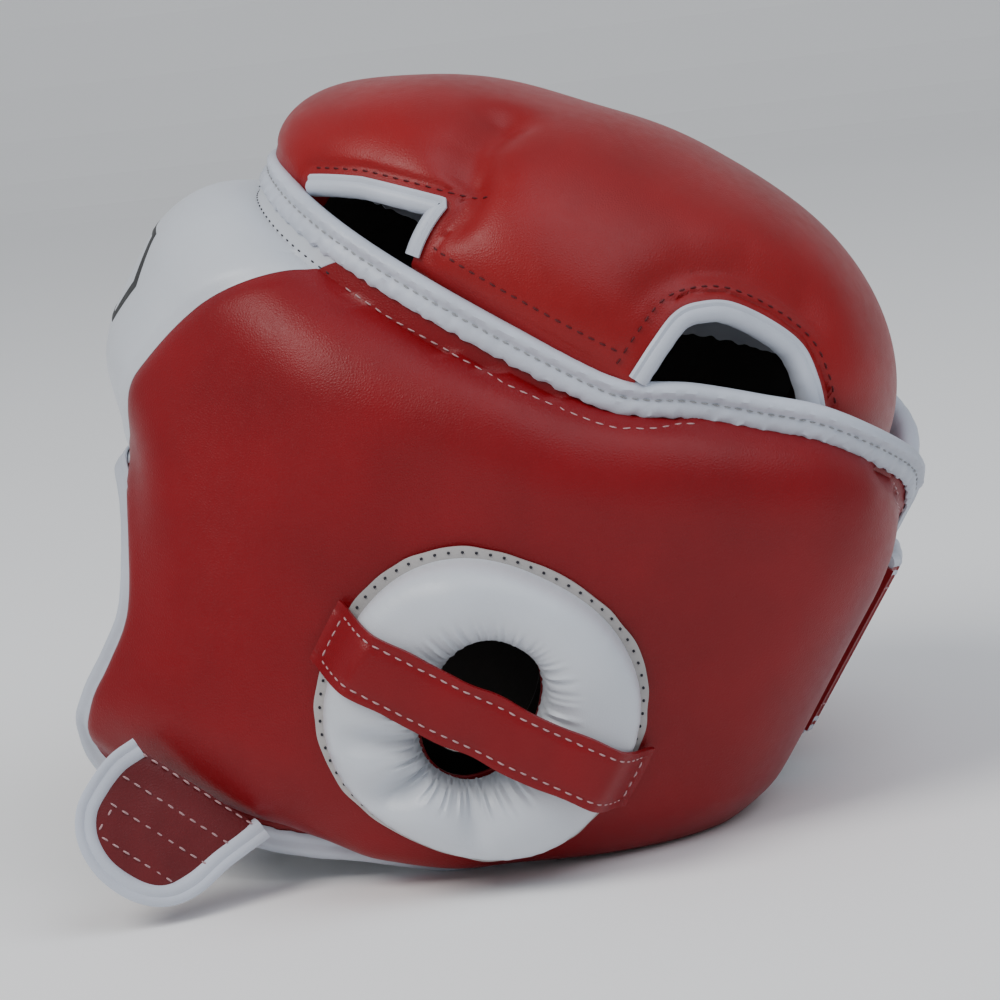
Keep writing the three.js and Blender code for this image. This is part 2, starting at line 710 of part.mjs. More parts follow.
// The chin strap hangs from an anchor on the right cheek's lining and crosses under the
// chin. Its route is [across, drop]: across towards the left, drop down from the seam.
function strapLoops(route, from, to, half) {
  const centre = tabSeamStart.clone().add(tabSeamEnd).multiplyScalar(0.5);
  const down = vec(0, -Math.abs(tabAcross.z), -tabAcross.y).normalize();
  const sideways = vec(0, tabAcross.y, tabAcross.z).normalize();
  return route.map(([across, drop], i) => {
    const before = route[Math.max(0, i - 1)];
    const after = route[Math.min(route.length - 1, i + 1)];
    const length = Math.hypot(after[0] - before[0], after[1] - before[1]);
    const out = [(after[1] - before[1]) / length, -(after[0] - before[0]) / length];
    return [[from, -half], [to, -half], [to, half], [from, half]].map(
      ([h, a]) => vec(across + out[0] * h, centre.y, centre.z)
        .addScaledVector(down, drop + out[1] * h).addScaledVector(sideways, a),
    );
  });
}

function chinStrap() {
  const [seamY, seamZ] = strapSeam;
  const half = strapWidth / 2;
  const lining = bandPoint(angleAtY(seamY - half, seamZ, 0), seamZ, 0);
  const x = lining.x - strapSetback;
  const bend = [[-x + 5, strapDrop * 0.62], [-x + 14, strapDrop]];
  const cross = [[-x / 2, strapDrop], [0, strapDrop], [strapReach * 0.6, strapDrop],
    [strapReach, strapDrop]];
  const anchor = [[-x, -10], [-x, 0], [-x + 1.4, strapDrop * 0.3]];
  addPiece('chin_strap_anchor', 'redLeather', loft(strapLoops(anchor, 0, strapThickness, half)));
  addPiece('chin_strap', 'redLeather',
    loft(strapLoops([...bend, ...cross], 0, strapThickness, half)));
  addPiece('chin_strap_loop_patch', 'loop', loft(strapLoops(
    cross.slice(1), -layerGap - patchThickness, -layerGap, half - patchInset,
  )));
}

// The rear strap is sewn on the left wing and closes over the right wing.
function rearPlate(fromAngle, toAngle, low, high, half) {
  const count = 12;
  const stations = Array.from({ length: count + 1 }, (_, i) => mix(fromAngle, toAngle, i / count));
  const row = (h) => stations.map((angle) => {
    const signed = angle > 180 ? angle - 360 : angle;
    const lift = fullPadAt(signed) + rearStrapLift + h;
    return [-1, 1].map((w) => bandPoint(signed, rearStrapCentreZ + w * half, lift));
  });
  return sheet(row(low), row(high));
}

function rearStrap() {
  const reach = 360 - angleAtRear(rearStrapReach);
  const start = angleAtRear(rearStrapStart);
  addPiece('rear_strap', 'redLeather',
    rearPlate(start, reach, 0, rearStrapThickness, rearStrapWidth / 2));
  addPiece('rear_strap_hook_patch', 'hook', rearPlate(
    360 - angleAtRear(rearPatchStart), 360 - angleAtRear(rearStrapReach - patchInset),
    -layerGap - patchThickness, -layerGap, rearStrapWidth / 2 - patchInset,
  ));
}

// The angle behind the ear where the band's inner face is so far from the middle plane.
function angleAtRear(x) {
  return 180 - THREE.MathUtils.radToDeg(Math.asin((x / headHalfWidth) ** (headSquareness / 2)));
}

crown();
ventBinding('vent_binding_front', frontVent.slice(1));
ventBinding('vent_binding_rear', rearVent.slice(1));
bandPanels();
bindings();
earRing();
earStrap();
chinTab();
chinStrap();
rearStrap();

// Tip the headgear back onto its resting edge, with the origin under the middle of it.
const placed = new THREE.Group();
headgear.rotation.x = -rad(restTilt);
placed.add(headgear);
const box = new THREE.Box3().setFromObject(placed, true);
const middle = box.getCenter(vec(0, 0, 0));
headgear.position.set(-middle.x, -middle.y, -box.min.z);

export default placed;
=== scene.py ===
"""Boxing headgear: padded red wings, white forehead, red crown pad, bound in white.

Shapes are worked out in millimetres as worn (x to the wearer's left, y to the back,
z up, from between the ears) and placed in the row's frame, in metres, by to_row().
"""
import math

import bpy
import numpy as np
from mathutils import Matrix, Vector
from mathutils.bvhtree import BVHTree


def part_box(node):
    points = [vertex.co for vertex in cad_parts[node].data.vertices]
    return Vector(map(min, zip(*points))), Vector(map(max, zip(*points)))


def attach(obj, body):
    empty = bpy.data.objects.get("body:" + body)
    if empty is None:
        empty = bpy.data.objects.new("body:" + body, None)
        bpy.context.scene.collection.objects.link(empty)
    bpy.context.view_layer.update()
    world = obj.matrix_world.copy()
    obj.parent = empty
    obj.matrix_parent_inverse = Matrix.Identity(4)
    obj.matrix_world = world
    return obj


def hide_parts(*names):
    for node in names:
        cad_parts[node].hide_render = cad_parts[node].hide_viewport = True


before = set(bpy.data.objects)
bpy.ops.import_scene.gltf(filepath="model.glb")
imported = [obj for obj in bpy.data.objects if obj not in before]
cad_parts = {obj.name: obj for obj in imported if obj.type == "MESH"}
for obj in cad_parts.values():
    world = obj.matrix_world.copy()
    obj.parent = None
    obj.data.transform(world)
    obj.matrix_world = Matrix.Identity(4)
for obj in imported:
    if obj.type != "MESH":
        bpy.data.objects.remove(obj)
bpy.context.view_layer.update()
rng = np.random.default_rng(7)

# ---- sizes shared with the solids, in millimetres and degrees ------------------------
HEAD_FRONT, HEAD_BACK, HEAD_HALF = 100.0, 112.0, 81.0
SQUARENESS = 2.25
JAW_TAPER, JAW_TAPER_START = 0.0011, -20.0
REST_TILT = math.radians(33)
REST_EDGE_Y, REST_EDGE_Z = 42.0, -54.0
COVER, LINING, GAP = 1.4, 1.4, 0.3
MARGIN = COVER + LINING + 2 * GAP
FOREHEAD_PAD, SIDE_PAD, REAR_PAD = 27.0, 22.0, 11.0
BIND = 3.7
TOP_EDGE, TOP_REAR, JAW_BOTTOM, WING_GAP = 94.0, 111.0, -79.0, 12.0
CROWN_HEIGHT, CROWN_PAD, PEAK_Y = 57.0, 18.0, 22.0
CROWN_FRONT, CROWN_REAR, CROWN_HALF, CROWN_GAP = 127.0, 77.0, 86.0, 2.2
EAR_Y, HOLE_LONG, HOLE_HIGH = 26.0, 15.5, 22.0
RING_LONG, RING_HIGH, RING_HEIGHT, FLANGE = 42.0, 41.5, 17.0, 3.5
EAR_STRAP_WIDTH = 19.0
SEAM_TOP, SEAM_BOTTOM, BROW_Z, SEAM_GAP = 55.0, 26.0, 4.0, 0.04

GROUND = 0.0002                 # metres, the lowest that anything reaches

# ---- from the worn position to the row's frame ---------------------------------------
ear_low, ear_high = (np.array(v) * 1000 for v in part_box("ear_base_left"))
EAR_ROW = (ear_low + ear_high) / 2
COS, SIN = math.cos(REST_TILT), math.sin(REST_TILT)
SHIFT_Y = EAR_ROW[1] - EAR_Y * COS
SHIFT_Z = EAR_ROW[2] + EAR_Y * SIN


def to_row(points):
    p = np.asarray(points, float)
    x, y, z = p[..., 0], p[..., 1], p[..., 2]
    rows = np.stack([x, y * COS + z * SIN + SHIFT_Y, -y * SIN + z * COS + SHIFT_Z], -1)
    return rows / 1000


def direction_to_row(v):
    x, y, z = v
    return np.array([x, y * COS + z * SIN, -y * SIN + z * COS])


# ---- small numeric helpers ------------------------------------------------------------
def power(value, exponent):
    return np.sign(value) * np.abs(value) ** exponent


def smooth(low, high, value):
    t = np.clip((np.asarray(value, float) - low) / (high - low), 0, 1)
    return t * t * (3 - 2 * t)


def rise(t):
    return np.sqrt(1 - (1 - np.clip(t, 0, 1)) ** 2)


def unit(v):
    v = np.asarray(v, float)
    return v / np.maximum(np.linalg.norm(v, axis=-1, keepdims=True), 1e-9)


def waves(s, seed, low, high, count=7):
    """An irregular wave along s, between two wavelengths, about -1 to 1."""
    pick = np.random.default_rng(seed)
    total = np.zeros_like(np.asarray(s, float))
    for _ in range(count):
        length = pick.uniform(low, high)
        total += np.sin(2 * math.pi * (s / length + pick.uniform()))
    return total / math.sqrt(count)


def spline(points, count):
    """Evenly parted points on a uniform Catmull-Rom curve."""
    p = np.asarray(points, float)
    padded = np.vstack([2 * p[0] - p[1], p, 2 * p[-1] - p[-2]])
    fine = []
    steps = 40
    for i in range(len(p) - 1):
        a, b, c, d = padded[i:i + 4]
        for t in np.arange(steps) / steps:
            fine.append(0.5 * (2 * b + (c - a) * t + (2 * a - 5 * b + 4 * c - d) * t ** 2
                               + (3 * b - a - 3 * c + d) * t ** 3))
    fine.append(p[-1])
    return evenly(np.array(fine), count)


def lengths_along(points):
    return np.concatenate([[0], np.cumsum(np.linalg.norm(np.diff(points, axis=0), axis=1))])


def evenly(points, count):
    run = lengths_along(points)
    at = np.linspace(0, run[-1], count)
    return np.stack([np.interp(at, run, points[:, k]) for k in range(points.shape[1])], -1)


# ---- the band's surface -----------------------------------------------------------------
def band(angle, z, lift):
    """Places at an angle round the head, a height, and a lift out from the lining's inside."""
    angle, z = np.radians(np.asarray(angle, float)), np.asarray(z, float)
    lift = np.asarray(lift, float)
    width = HEAD_HALF - JAW_TAPER * np.maximum(0, JAW_TAPER_START - z) ** 2
    length = np.where(np.cos(angle) > 0, HEAD_FRONT, HEAD_BACK)
    x = width * power(np.sin(angle), 2 / SQUARENESS)
    y = -length * power(np.cos(angle), 2 / SQUARENESS)
    nx = power(x / width, SQUARENESS - 1) / width
    ny = power(y / length, SQUARENESS - 1) / length
    size = np.hypot(nx, ny)
    return np.stack([x + nx / size * lift, y + ny / size * lift, z + 0 * x], -1)


def band_normal(angle, z):
    return unit(band(angle, z, 1.0) - band(angle, z, 0.0))


ANGLES = np.linspace(0.5, 179.5, 1600)


def angle_at_y(y, lift):
    ys = band(ANGLES, 0.0, lift)[:, 1]
    return np.interp(y, ys, ANGLES)


REAR_ANGLE = 180 - math.degrees(math.asin((WING_GAP / HEAD_HALF) ** (SQUARENESS / 2)))


def rest_edge(angle):
    y = band(angle, 0.0, 0.0)[..., 1]
    return REST_EDGE_Z + BIND + GAP + (y - REST_EDGE_Y) * math.tan(REST_TILT)


# ---- outlines of the band, as [angle, z] --------------------------------------------------
TOP_FRONT = [[0, TOP_EDGE + 3], [20, TOP_EDGE + 2.5], [38, TOP_EDGE + 1], [SEAM_TOP, TOP_EDGE]]
TOP_SIDE = [[SEAM_TOP, TOP_EDGE], [76, TOP_EDGE - 0.5], [95, TOP_EDGE - 0.5],
            [101, TOP_EDGE + 2], [108, TOP_EDGE + 8], [118, TOP_EDGE + 13], [130, TOP_REAR],
            [146, TOP_REAR - 1], [160, TOP_REAR - 5], [REAR_ANGLE - 5, TOP_REAR - 12]]
SEAM = [[SEAM_BOTTOM, BROW_Z - 5], [29, 16], [32, 34], [36, 52], [42, 70], [48, 84],
        [SEAM_TOP, TOP_EDGE]]
FACE = [[57, JAW_BOTTOM], [50, JAW_BOTTOM + 5], [47.5, -60], [47.5, -46], [46.5, -32],
        [41, -18], [34, -7], [SEAM_BOTTOM, BROW_Z - 5]]
BROW = [[0, BROW_Z], [14, BROW_Z - 1], [SEAM_BOTTOM, BROW_Z - 5]]
JAW = [[57, JAW_BOTTOM], [72, JAW_BOTTOM + 5], [86, JAW_BOTTOM + 9]]
REST_ANGLE = float(angle_at_y(REST_EDGE_Y, 0.0))
REST = [[a, float(rest_edge(a))] for a in (REST_ANGLE, 118, 134, 150, REAR_ANGLE)]
BOTTOM = [[86, JAW_BOTTOM + 9],
          [96, (JAW_BOTTOM + 9 + float(rest_edge(REST_ANGLE))) / 2], *REST]
REAR = [REST[-1], [REAR_ANGLE, 40], [REAR_ANGLE, TOP_REAR - 24], [REAR_ANGLE - 5, TOP_REAR - 12]]


def mirrored(points):
    return [[-a, z] for a, z in points][::-1]


def flat_place(points):
    p = np.asarray(points, float)
    return band(p[..., 0], p[..., 1], 0.0)


def distance_to(line, points):
    best = np.full(points.shape[:-1], 1e9)
    for a, b in zip(line[:-1], line[1:]):
        ab = b - a
        t = np.clip(((points - a) @ ab) / (ab @ ab), 0, 1)
        best = np.minimum(best, np.linalg.norm(points - a - t[..., None] * ab, axis=-1))
    return best


# Each bound edge: its line, and the radius over which the padding rises from it.
BOUND = [(flat_place(spline(TOP_FRONT + TOP_SIDE[1:], 60)), 26.0),
         (flat_place(spline(FACE, 40)), 30.0),
         (flat_place(spline(mirrored(BROW)[:-1] + BROW, 30)), 28.0),
         (flat_place(spline(JAW + BOTTOM[1:], 40)), 15.0),
         (flat_place(spline(REAR, 30)), 20.0)]


def margin_of(edge, angle):
    """How wide the flat sewn strip beside a bound edge is."""
    if edge == 0:
        return np.interp(angle, [0, 20, 35, 60, 76, 92, 100, 140, 156, 172],
                         [10, 10.5, 11, 13, 12, 8, 6, 6, 10, 14])
    return [0, 3.0, 6.0, 3.2, 8.0][edge]


CURL, CURL_REACH = 7.0, 13.0


def turned_out(angle, z):
    """How far the face edge and the brow curl outwards, lining and all."""
    place = band(np.abs(angle), z, 0.0)
    face = distance_to(BOUND[1][0], place)
    full = CURL * np.exp(-(face / CURL_REACH) ** 2)
    return full * smooth(-80, -66, np.asarray(z, float) + 0 * full)


def full_pad(angle):
    front = FOREHEAD_PAD + (SIDE_PAD - FOREHEAD_PAD) * smooth(20, 60, angle)
    return front + (REAR_PAD - front) * smooth(135, 168, angle)


def pad(angle, z):
    side = np.abs(angle)
    place = band(side, z, 0.0)
    factor = np.ones_like(side)
    jaw = 1 - smooth(86, 98, side)
    for edge, (line, radius) in enumerate(BOUND):
        gentle = jaw if edge == 3 else 0.0
        away = distance_to(line, place) - margin_of(edge, side) - 2.5 * gentle
        factor = factor * rise(away / (radius + 12.0 * gentle))
    return MARGIN + (full_pad(side) - MARGIN) * factor


# ---- meshes ---------------------------------------------------------------------------------
def make(name, points, faces, material, body="headgear", smooth_angle=40):
    """A piece from points as worn; what would be below the ground is pressed flat on it."""
    mesh = bpy.data.meshes.new(name)
    rows = to_row(points)
    if name != "ear_cutter":
        rows[:, 2] = np.maximum(rows[:, 2], GROUND)
    mesh.from_pydata(rows.tolist(), [], [list(f) for f in faces])
    mesh.materials.append(material)
    piece = bpy.data.objects.new(name, mesh)
    bpy.context.collection.objects.link(piece)
    shade(piece, smooth_angle)
    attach(piece, body)
    return piece


def shade(piece, degrees):
    mesh = piece.data
    mesh.polygons.foreach_set("use_smooth", [True] * len(mesh.polygons))
    bpy.ops.object.select_all(action="DESELECT")
    piece.select_set(True)
    bpy.context.view_layer.objects.active = piece
    bpy.ops.object.shade_smooth_by_angle(angle=math.radians(degrees))
    piece.select_set(False)


def outward(points, faces):
    """True where the closed surface encloses a positive volume."""
    p = np.asarray(points)
    total = 0.0
    for f in faces:
        a = p[f[0]]
        for k in range(1, len(f) - 1):
            total += np.dot(a, np.cross(p[f[k]], p[f[k + 1]]))
    return total > 0


def sheet_mesh(inner, outer, wrap=False):
    """A closed sheet between two grids of points; wrap joins its last column to its first."""
    rows, columns = inner.shape[:2]
    points = np.vstack([inner.reshape(-1, 3), outer.reshape(-1, 3)])
    lift = rows * columns
    faces = []
    spans = columns if wrap else columns - 1
    for i in range(rows - 1):
        for j in range(spans):
            k = (j + 1) % columns
            a, b, c, d = i * columns + j, i * columns + k, (i + 1) * columns + k, (i + 1) * columns + j
            faces.append((a, d, c, b))
            faces.append((lift + a, lift + b, lift + c, lift + d))
    if wrap:
        for i, turned in ((0, False), (rows - 1, True)):
            for j in range(columns):
                a, b = i * columns + j, i * columns + (j + 1) % columns
                quad = (a, b, lift + b, lift + a)
                faces.append(quad[::-1] if turned else quad)
    else:
        rim = list(range(columns - 1))
        rim += [i * columns + columns - 1 for i in range(rows - 1)]
        rim += [(rows - 1) * columns + j for j in range(columns - 1, 0, -1)]
        rim += [i * columns for i in range(rows - 1, 0, -1)]
        for n, a in enumerate(rim):
            b = rim[(n + 1) % len(rim)]
            faces.append((a, b, lift + b, lift + a))
    if not outward(points, faces):
        faces = [f[::-1] for f in faces]
    return points, faces


def loft_mesh(loops, closed=False):
    """A solid through loops of points; closed joins the last loop to the first."""
    count, size = loops.shape[:2]
    faces = []
    for i in range(count if closed else count - 1):
        a, b = i * size, ((i + 1) % count) * size
        for j in range(size):
            k = (j + 1) % size
            faces.append((a + j, b + j, b + k, a + k))
    if not closed:
        faces.append(tuple(range(size)))
        faces.append(tuple((count - 1) * size + j for j in reversed(range(size))))
    points = loops.reshape(-1, 3)
    if not outward(points, faces):
        faces = [f[::-1] for f in faces]
    return points, faces


def pair(name, shape, material, body="headgear", smooth_angle=40):
    """The left piece and its mirror image on the right."""
    points, faces = shape
    left = make(f"{name}_left", points, faces, material, body, smooth_angle=smooth_angle)
    other = points * [-1, 1, 1]
    right = make(f"{name}_right", other, [f[::-1] for f in faces], material, body,
                 smooth_angle=smooth_angle)
    return left, right


# ---- materials ---------------------------------------------------------------------------------
def node_tree(name, roughness, specular=0.5):
    material = bpy.data.materials.new(name)
    material.use_nodes = True
    nodes, links = material.node_tree.nodes, material.node_tree.links
    shader = nodes["Principled BSDF"]
    shader.inputs["Roughness"].default_value = roughness
    shader.inputs["Specular IOR Level"].default_value = specular
    place = nodes.new("ShaderNodeTexCoord")
    return material, nodes, links, shader, place.outputs["Object"]


def noise(nodes, links, place, scale, detail=3.0):
    made = nodes.new("ShaderNodeTexNoise")
    made.inputs["Scale"].default_value = scale
    made.inputs["Detail"].default_value = detail
    links.new(place, made.inputs["Vector"])
    return made.outputs["Fac"]


def ramp(nodes, links, fac, stops):
    made = nodes.new("ShaderNodeValToRGB")
    made.color_ramp.elements[0].position, made.color_ramp.elements[0].color = stops[0]
    made.color_ramp.elements[1].position, made.color_ramp.elements[1].color = stops[-1]
    for position, color in stops[1:-1]:
        made.color_ramp.elements.new(position).color = color
    links.new(fac, made.inputs["Fac"])
    return made.outputs["Color"]


def bump(nodes, links, shader, layers):
    """Stacks (height, strength, distance) layers of bump onto the shader."""
    last = None
    for height, strength, distance in layers:
        made = nodes.new("ShaderNodeBump")
        made.inputs["Strength"].default_value = strength
        made.inputs["Distance"].default_value = distance
        links.new(height, made.inputs["Height"])
        if last is not None:
            links.new(last, made.inputs["Normal"])
        last = made.outputs["Normal"]
    links.new(last, shader.inputs["Normal"])


def rgba(color, gain=1.0):
    return tuple(min(1.0, c * gain) for c in color) + (1.0,)


def roughness_map(nodes, links, shader, fac, low, high):
    made = nodes.new("ShaderNodeMapRange")
    made.inputs["To Min"].default_value = low
    made.inputs["To Max"].default_value = high
    links.new(fac, made.inputs["Value"])
    links.new(made.outputs["Result"], shader.inputs["Roughness"])


GRAIN_SCALE, PORE_SCALE, WEAR_SCALE, RIPPLE_SCALE = 1150, 2600, 240, 60


def leather(name, color, roughness=0.42, grain=0.35, specular=0.5, variation=0.12, coat=0.0):
    material, nodes, links, shader, place = node_tree(name, roughness, specular)
    broad = noise(nodes, links, place, 26, 4)
    stops = [(0.3, rgba(color, 1 - variation)), (0.7, rgba(color, 1 + variation))]
    links.new(ramp(nodes, links, broad, stops), shader.inputs["Base Color"])
    cells = nodes.new("ShaderNodeTexVoronoi")
    cells.feature = "DISTANCE_TO_EDGE"
    cells.inputs["Scale"].default_value = GRAIN_SCALE
    links.new(place, cells.inputs["Vector"])
    wear = noise(nodes, links, place, WEAR_SCALE, 5)
    roughness_map(nodes, links, shader, wear, roughness - 0.07, roughness + 0.09)
    ripple = noise(nodes, links, place, RIPPLE_SCALE, 2)
    bump(nodes, links, shader, [(ripple, 0.12, 0.0012), (cells.outputs["Distance"], grain, 0.00012),
                                (noise(nodes, links, place, PORE_SCALE, 2), grain * 0.5, 0.00006)])
    shader.inputs["Coat Weight"].default_value = coat
    shader.inputs["Coat Roughness"].default_value = 0.3
    return material


def cloth(name, color, roughness=0.9, scale=1400):
    material, nodes, links, shader, place = node_tree(name, roughness, 0.25)
    broad = noise(nodes, links, place, 40, 4)
    stops = [(0.3, rgba(color, 0.75)), (0.7, rgba(color, 1.3))]
    links.new(ramp(nodes, links, broad, stops), shader.inputs["Base Color"])
    weave = nodes.new("ShaderNodeTexWave")
    weave.inputs["Scale"].default_value = scale
    weave.inputs["Distortion"].default_value = 1.5
    links.new(place, weave.inputs["Vector"])
    bump(nodes, links, shader, [(weave.outputs["Fac"], 0.4, 0.00015),
                                (noise(nodes, links, place, 900, 3), 0.4, 0.0003)])
    shader.inputs["Sheen Weight"].default_value = 0.15
    return material


def thread(name, color):
    material, nodes, links, shader, place = node_tree(name, 0.6, 0.3)
    twist = nodes.new("ShaderNodeTexWave")
    twist.bands_direction = "DIAGONAL"
    twist.inputs["Scale"].default_value = 1800
    links.new(place, twist.inputs["Vector"])
    stops = [(0.0, rgba(color, 0.7)), (1.0, rgba(color, 1.1))]
    links.new(ramp(nodes, links, twist.outputs["Fac"], stops), shader.inputs["Base Color"])
    bump(nodes, links, shader, [(twist.outputs["Fac"], 0.5, 0.0001)])
    return material


RED = leather("red_leather", (0.190, 0.0022, 0.0055), 0.38, 0.9, 0.28, 0.12)
# Lighter, more orange copy of the red leather for the crown: painted light where the crown faces the lamp.
CROWN_RED_PAINTED_LIGHT = leather("crown_red_leather_painted_light", (0.235, 0.0045, 0.0062), 0.38, 0.8, 0.30, 0.12)
WHITE = leather("white_leather", (0.57, 0.60, 0.65), 0.36, 0.4, 0.5, 0.04)
PIPING = leather("binding_leather", (0.50, 0.535, 0.61), 0.42, 0.3, 0.45, 0.12)
RAW = leather("raw_cut_leather", (0.42, 0.40, 0.39), 0.7, 0.4, 0.3, 0.12)
BLACK = cloth("black_lining", (0.015, 0.0125, 0.0115))
HOOK = cloth("hook_tape", (0.012, 0.012, 0.014), 0.8, 2600)
LOOP = cloth("loop_tape", (0.02, 0.02, 0.024), 1.0, 900)
PRINT = leather("black_print", (0.012, 0.012, 0.012), 0.5, 0.2, 0.4, 0.1)
PINK_THREAD = thread("pink_white_thread", (0.52, 0.31, 0.32))
RED_THREAD = thread("dark_red_thread", (0.10, 0.006, 0.010))
GREY_THREAD = thread("grey_thread", (0.34, 0.35, 0.36))
# Near-black dashes stand for needle holes: painted shade in the holes.
NEEDLE_HOLE_SHADE = thread("needle_hole_painted_shade", (0.02, 0.02, 0.03))
# Darker copy of the red wing leather for the chin tab: painted shade.
TAB_RED_PAINTED_SHADE = leather("tab_red_leather_painted_shade", (0.115, 0.0028, 0.0055), 0.44, 0.9, 0.45, 0.18)


# ---- stitches --------------------------------------------------------------------------------
# The rings of one stitch as (share of half its length, share of its radius, height in radii).
STITCH_RINGS = [(-1.0, 0.35, -0.6), (-0.6, 0.9, 0.1), (0.0, 1.0, 0.35), (0.6, 0.9, 0.1),
                (1.0, 0.35, -0.6)]
STITCH_SIDES = 5
STITCH_SWING = 0.08             # how far a stitch may lie askew, as a slope


def stitches(name, points, normals, material, body="headgear", length=2.6, space=1.0, radius=0.34,
             mirror=False):
    """A row of thread stitches lying along points on a surface."""
    run = lengths_along(points)
    count = max(1, int(run[-1] / (length + space)))
    at = (np.arange(count) + 0.5) * run[-1] / count
    middle = np.stack([np.interp(at, run, points[:, k]) for k in range(3)], -1)
    ahead = np.stack([np.interp(at + 0.5, run, points[:, k]) for k in range(3)], -1)
    behind = np.stack([np.interp(at - 0.5, run, points[:, k]) for k in range(3)], -1)
    up = unit(np.stack([np.interp(at, run, normals[:, k]) for k in range(3)], -1))
    way = unit(ahead - behind)
    side = unit(np.cross(way, up))
    sides = STITCH_SIDES
    rings = len(STITCH_RINGS)
    vertices, faces = [], []
    for m, w, u, s in zip(middle, way, up, side):
        w = unit(w + s * rng.uniform(-STITCH_SWING, STITCH_SWING))
        base = len(vertices)
        for reach, size, height in STITCH_RINGS:
            centre = m + w * reach * length / 2 + u * height * radius
            for k in range(sides):
                turn = 2 * math.pi * k / sides
                vertices.append(centre + (s * math.cos(turn) + u * math.sin(turn)) * radius * size)
        for r in range(rings - 1):
            for k in range(sides):
                a, b = base + r * sides + k, base + r * sides + (k + 1) % sides
                faces.append((a, b, b + sides, a + sides))
        faces.append(tuple(base + k for k in reversed(range(sides))))
        faces.append(tuple(base + (rings - 1) * sides + k for k in range(sides)))
    vertices = np.array(vertices)
    first = sides * rings
    if not outward(vertices[:first], [f for f in faces if max(f) < first]):
        faces = [f[::-1] for f in faces]
    if mirror:
        return pair(name, (vertices, faces), material, body)
    return make(name, vertices, faces, material, body)


# ---- padded panels of the band -----------------------------------------------------------------
def panel_grid(bottom, top, left, right):
    """Points [angle, z] of a Coons patch between four edges."""
    rows, columns = len(left), len(bottom)
    v = np.linspace(0, 1, rows)[:, None, None]
    u = np.linspace(0, 1, columns)[None, :, None]
    corners = ((bottom[0] * (1 - u) + bottom[-1] * u) * (1 - v) + (top[0] * (1 - u) + top[-1] * u) * v)
    return (bottom[None] * (1 - v) + top[None] * v + left[:, None] * (1 - u) + right[:, None] * u
            - corners)


def wing_grid(fine):
    rows = fine + 1
    left = np.vstack([spline(FACE, fine // 2 + 1), spline(SEAM, fine - fine // 2 + 1)[1:]])
    nape = int(round(fine * 0.65))
    right = np.vstack([spline(BOTTOM, nape + 1), spline(REAR, fine - nape + 1)[1:]])
    left[fine // 2:, 0] += SEAM_GAP
    grid = panel_grid(spline(JAW, rows), spline(TOP_SIDE, rows), left, right)
    return grid


def forehead_grid(fine):
    rows = fine + 1
    seam = spline(SEAM, rows)
    seam[:, 0] -= SEAM_GAP
    left = seam * [-1, 1]
    brow = spline(mirrored(BROW)[:-1] + BROW, rows)
    top = spline(mirrored(TOP_FRONT)[:-1] + TOP_FRONT, rows)
    return panel_grid(brow, top, left, seam)


SEAM_LINE = flat_place(spline(SEAM, 60))
SEAM_VALLEY, SEAM_VALLEY_WIDTH = 1.6, 2.2
SAG, SAG_HEIGHT, SAG_WIDTH = 5.0, 7.0, 5.0


def wing_height(grid):
    """The cover's height over the lining: padding, a shallow valley at the forehead seam."""
    angle, z = grid[..., 0], grid[..., 1]
    place = band(np.abs(angle), z, 0.0)
    seam = distance_to(SEAM_LINE, place)
    height = pad(angle, z)
    fullness = smooth(MARGIN, MARGIN + 14, height)
    height = height - SEAM_VALLEY * np.exp(-(seam / SEAM_VALLEY_WIDTH) ** 2) * fullness
    slow = waves(place[..., 1] * 0.8 + z * 0.6, 3, 40, 95) + waves(z - place[..., 1] * 0.5, 4, 50, 120)
    return height + 0.5 * slow * fullness + turned_out(angle, z) * (1 - 0.75 * smooth(8, 22, height))


def cut_hole(piece, clearance):
    """Cuts the ear hole through a wing's layer, on the piece's own side."""
    side = 1 if piece.name.endswith("left") else -1
    angle = float(angle_at_y(EAR_Y, SIDE_PAD))
    centre = band(angle, 0.0, 0.0)
    normal = band_normal(angle, 0.0)
    along_y = unit(np.cross([0, 0, 1], normal))
    turns = np.linspace(0, 2 * math.pi, 49)[:-1]
    ring = (np.cos(turns)[:, None] * along_y * (HOLE_LONG + clearance)
            + np.sin(turns)[:, None] * np.array([0, 0, HOLE_HIGH + clearance]))
    loops = np.stack([centre + ring + normal * reach for reach in (-15, 45)])
    points, faces = loft_mesh(loops)
    points = points * [side, 1, 1]
    if side < 0:
        faces = [f[::-1] for f in faces]
    cutter = make("ear_cutter", points, faces, BLACK)
    modifier = piece.modifiers.new("hole", "BOOLEAN")
    modifier.operation, modifier.solver, modifier.object = "DIFFERENCE", "EXACT", cutter
    bpy.context.view_layer.objects.active = piece
    bpy.ops.object.modifier_apply(modifier="hole")
    bpy.data.objects.remove(cutter, do_unlink=True)


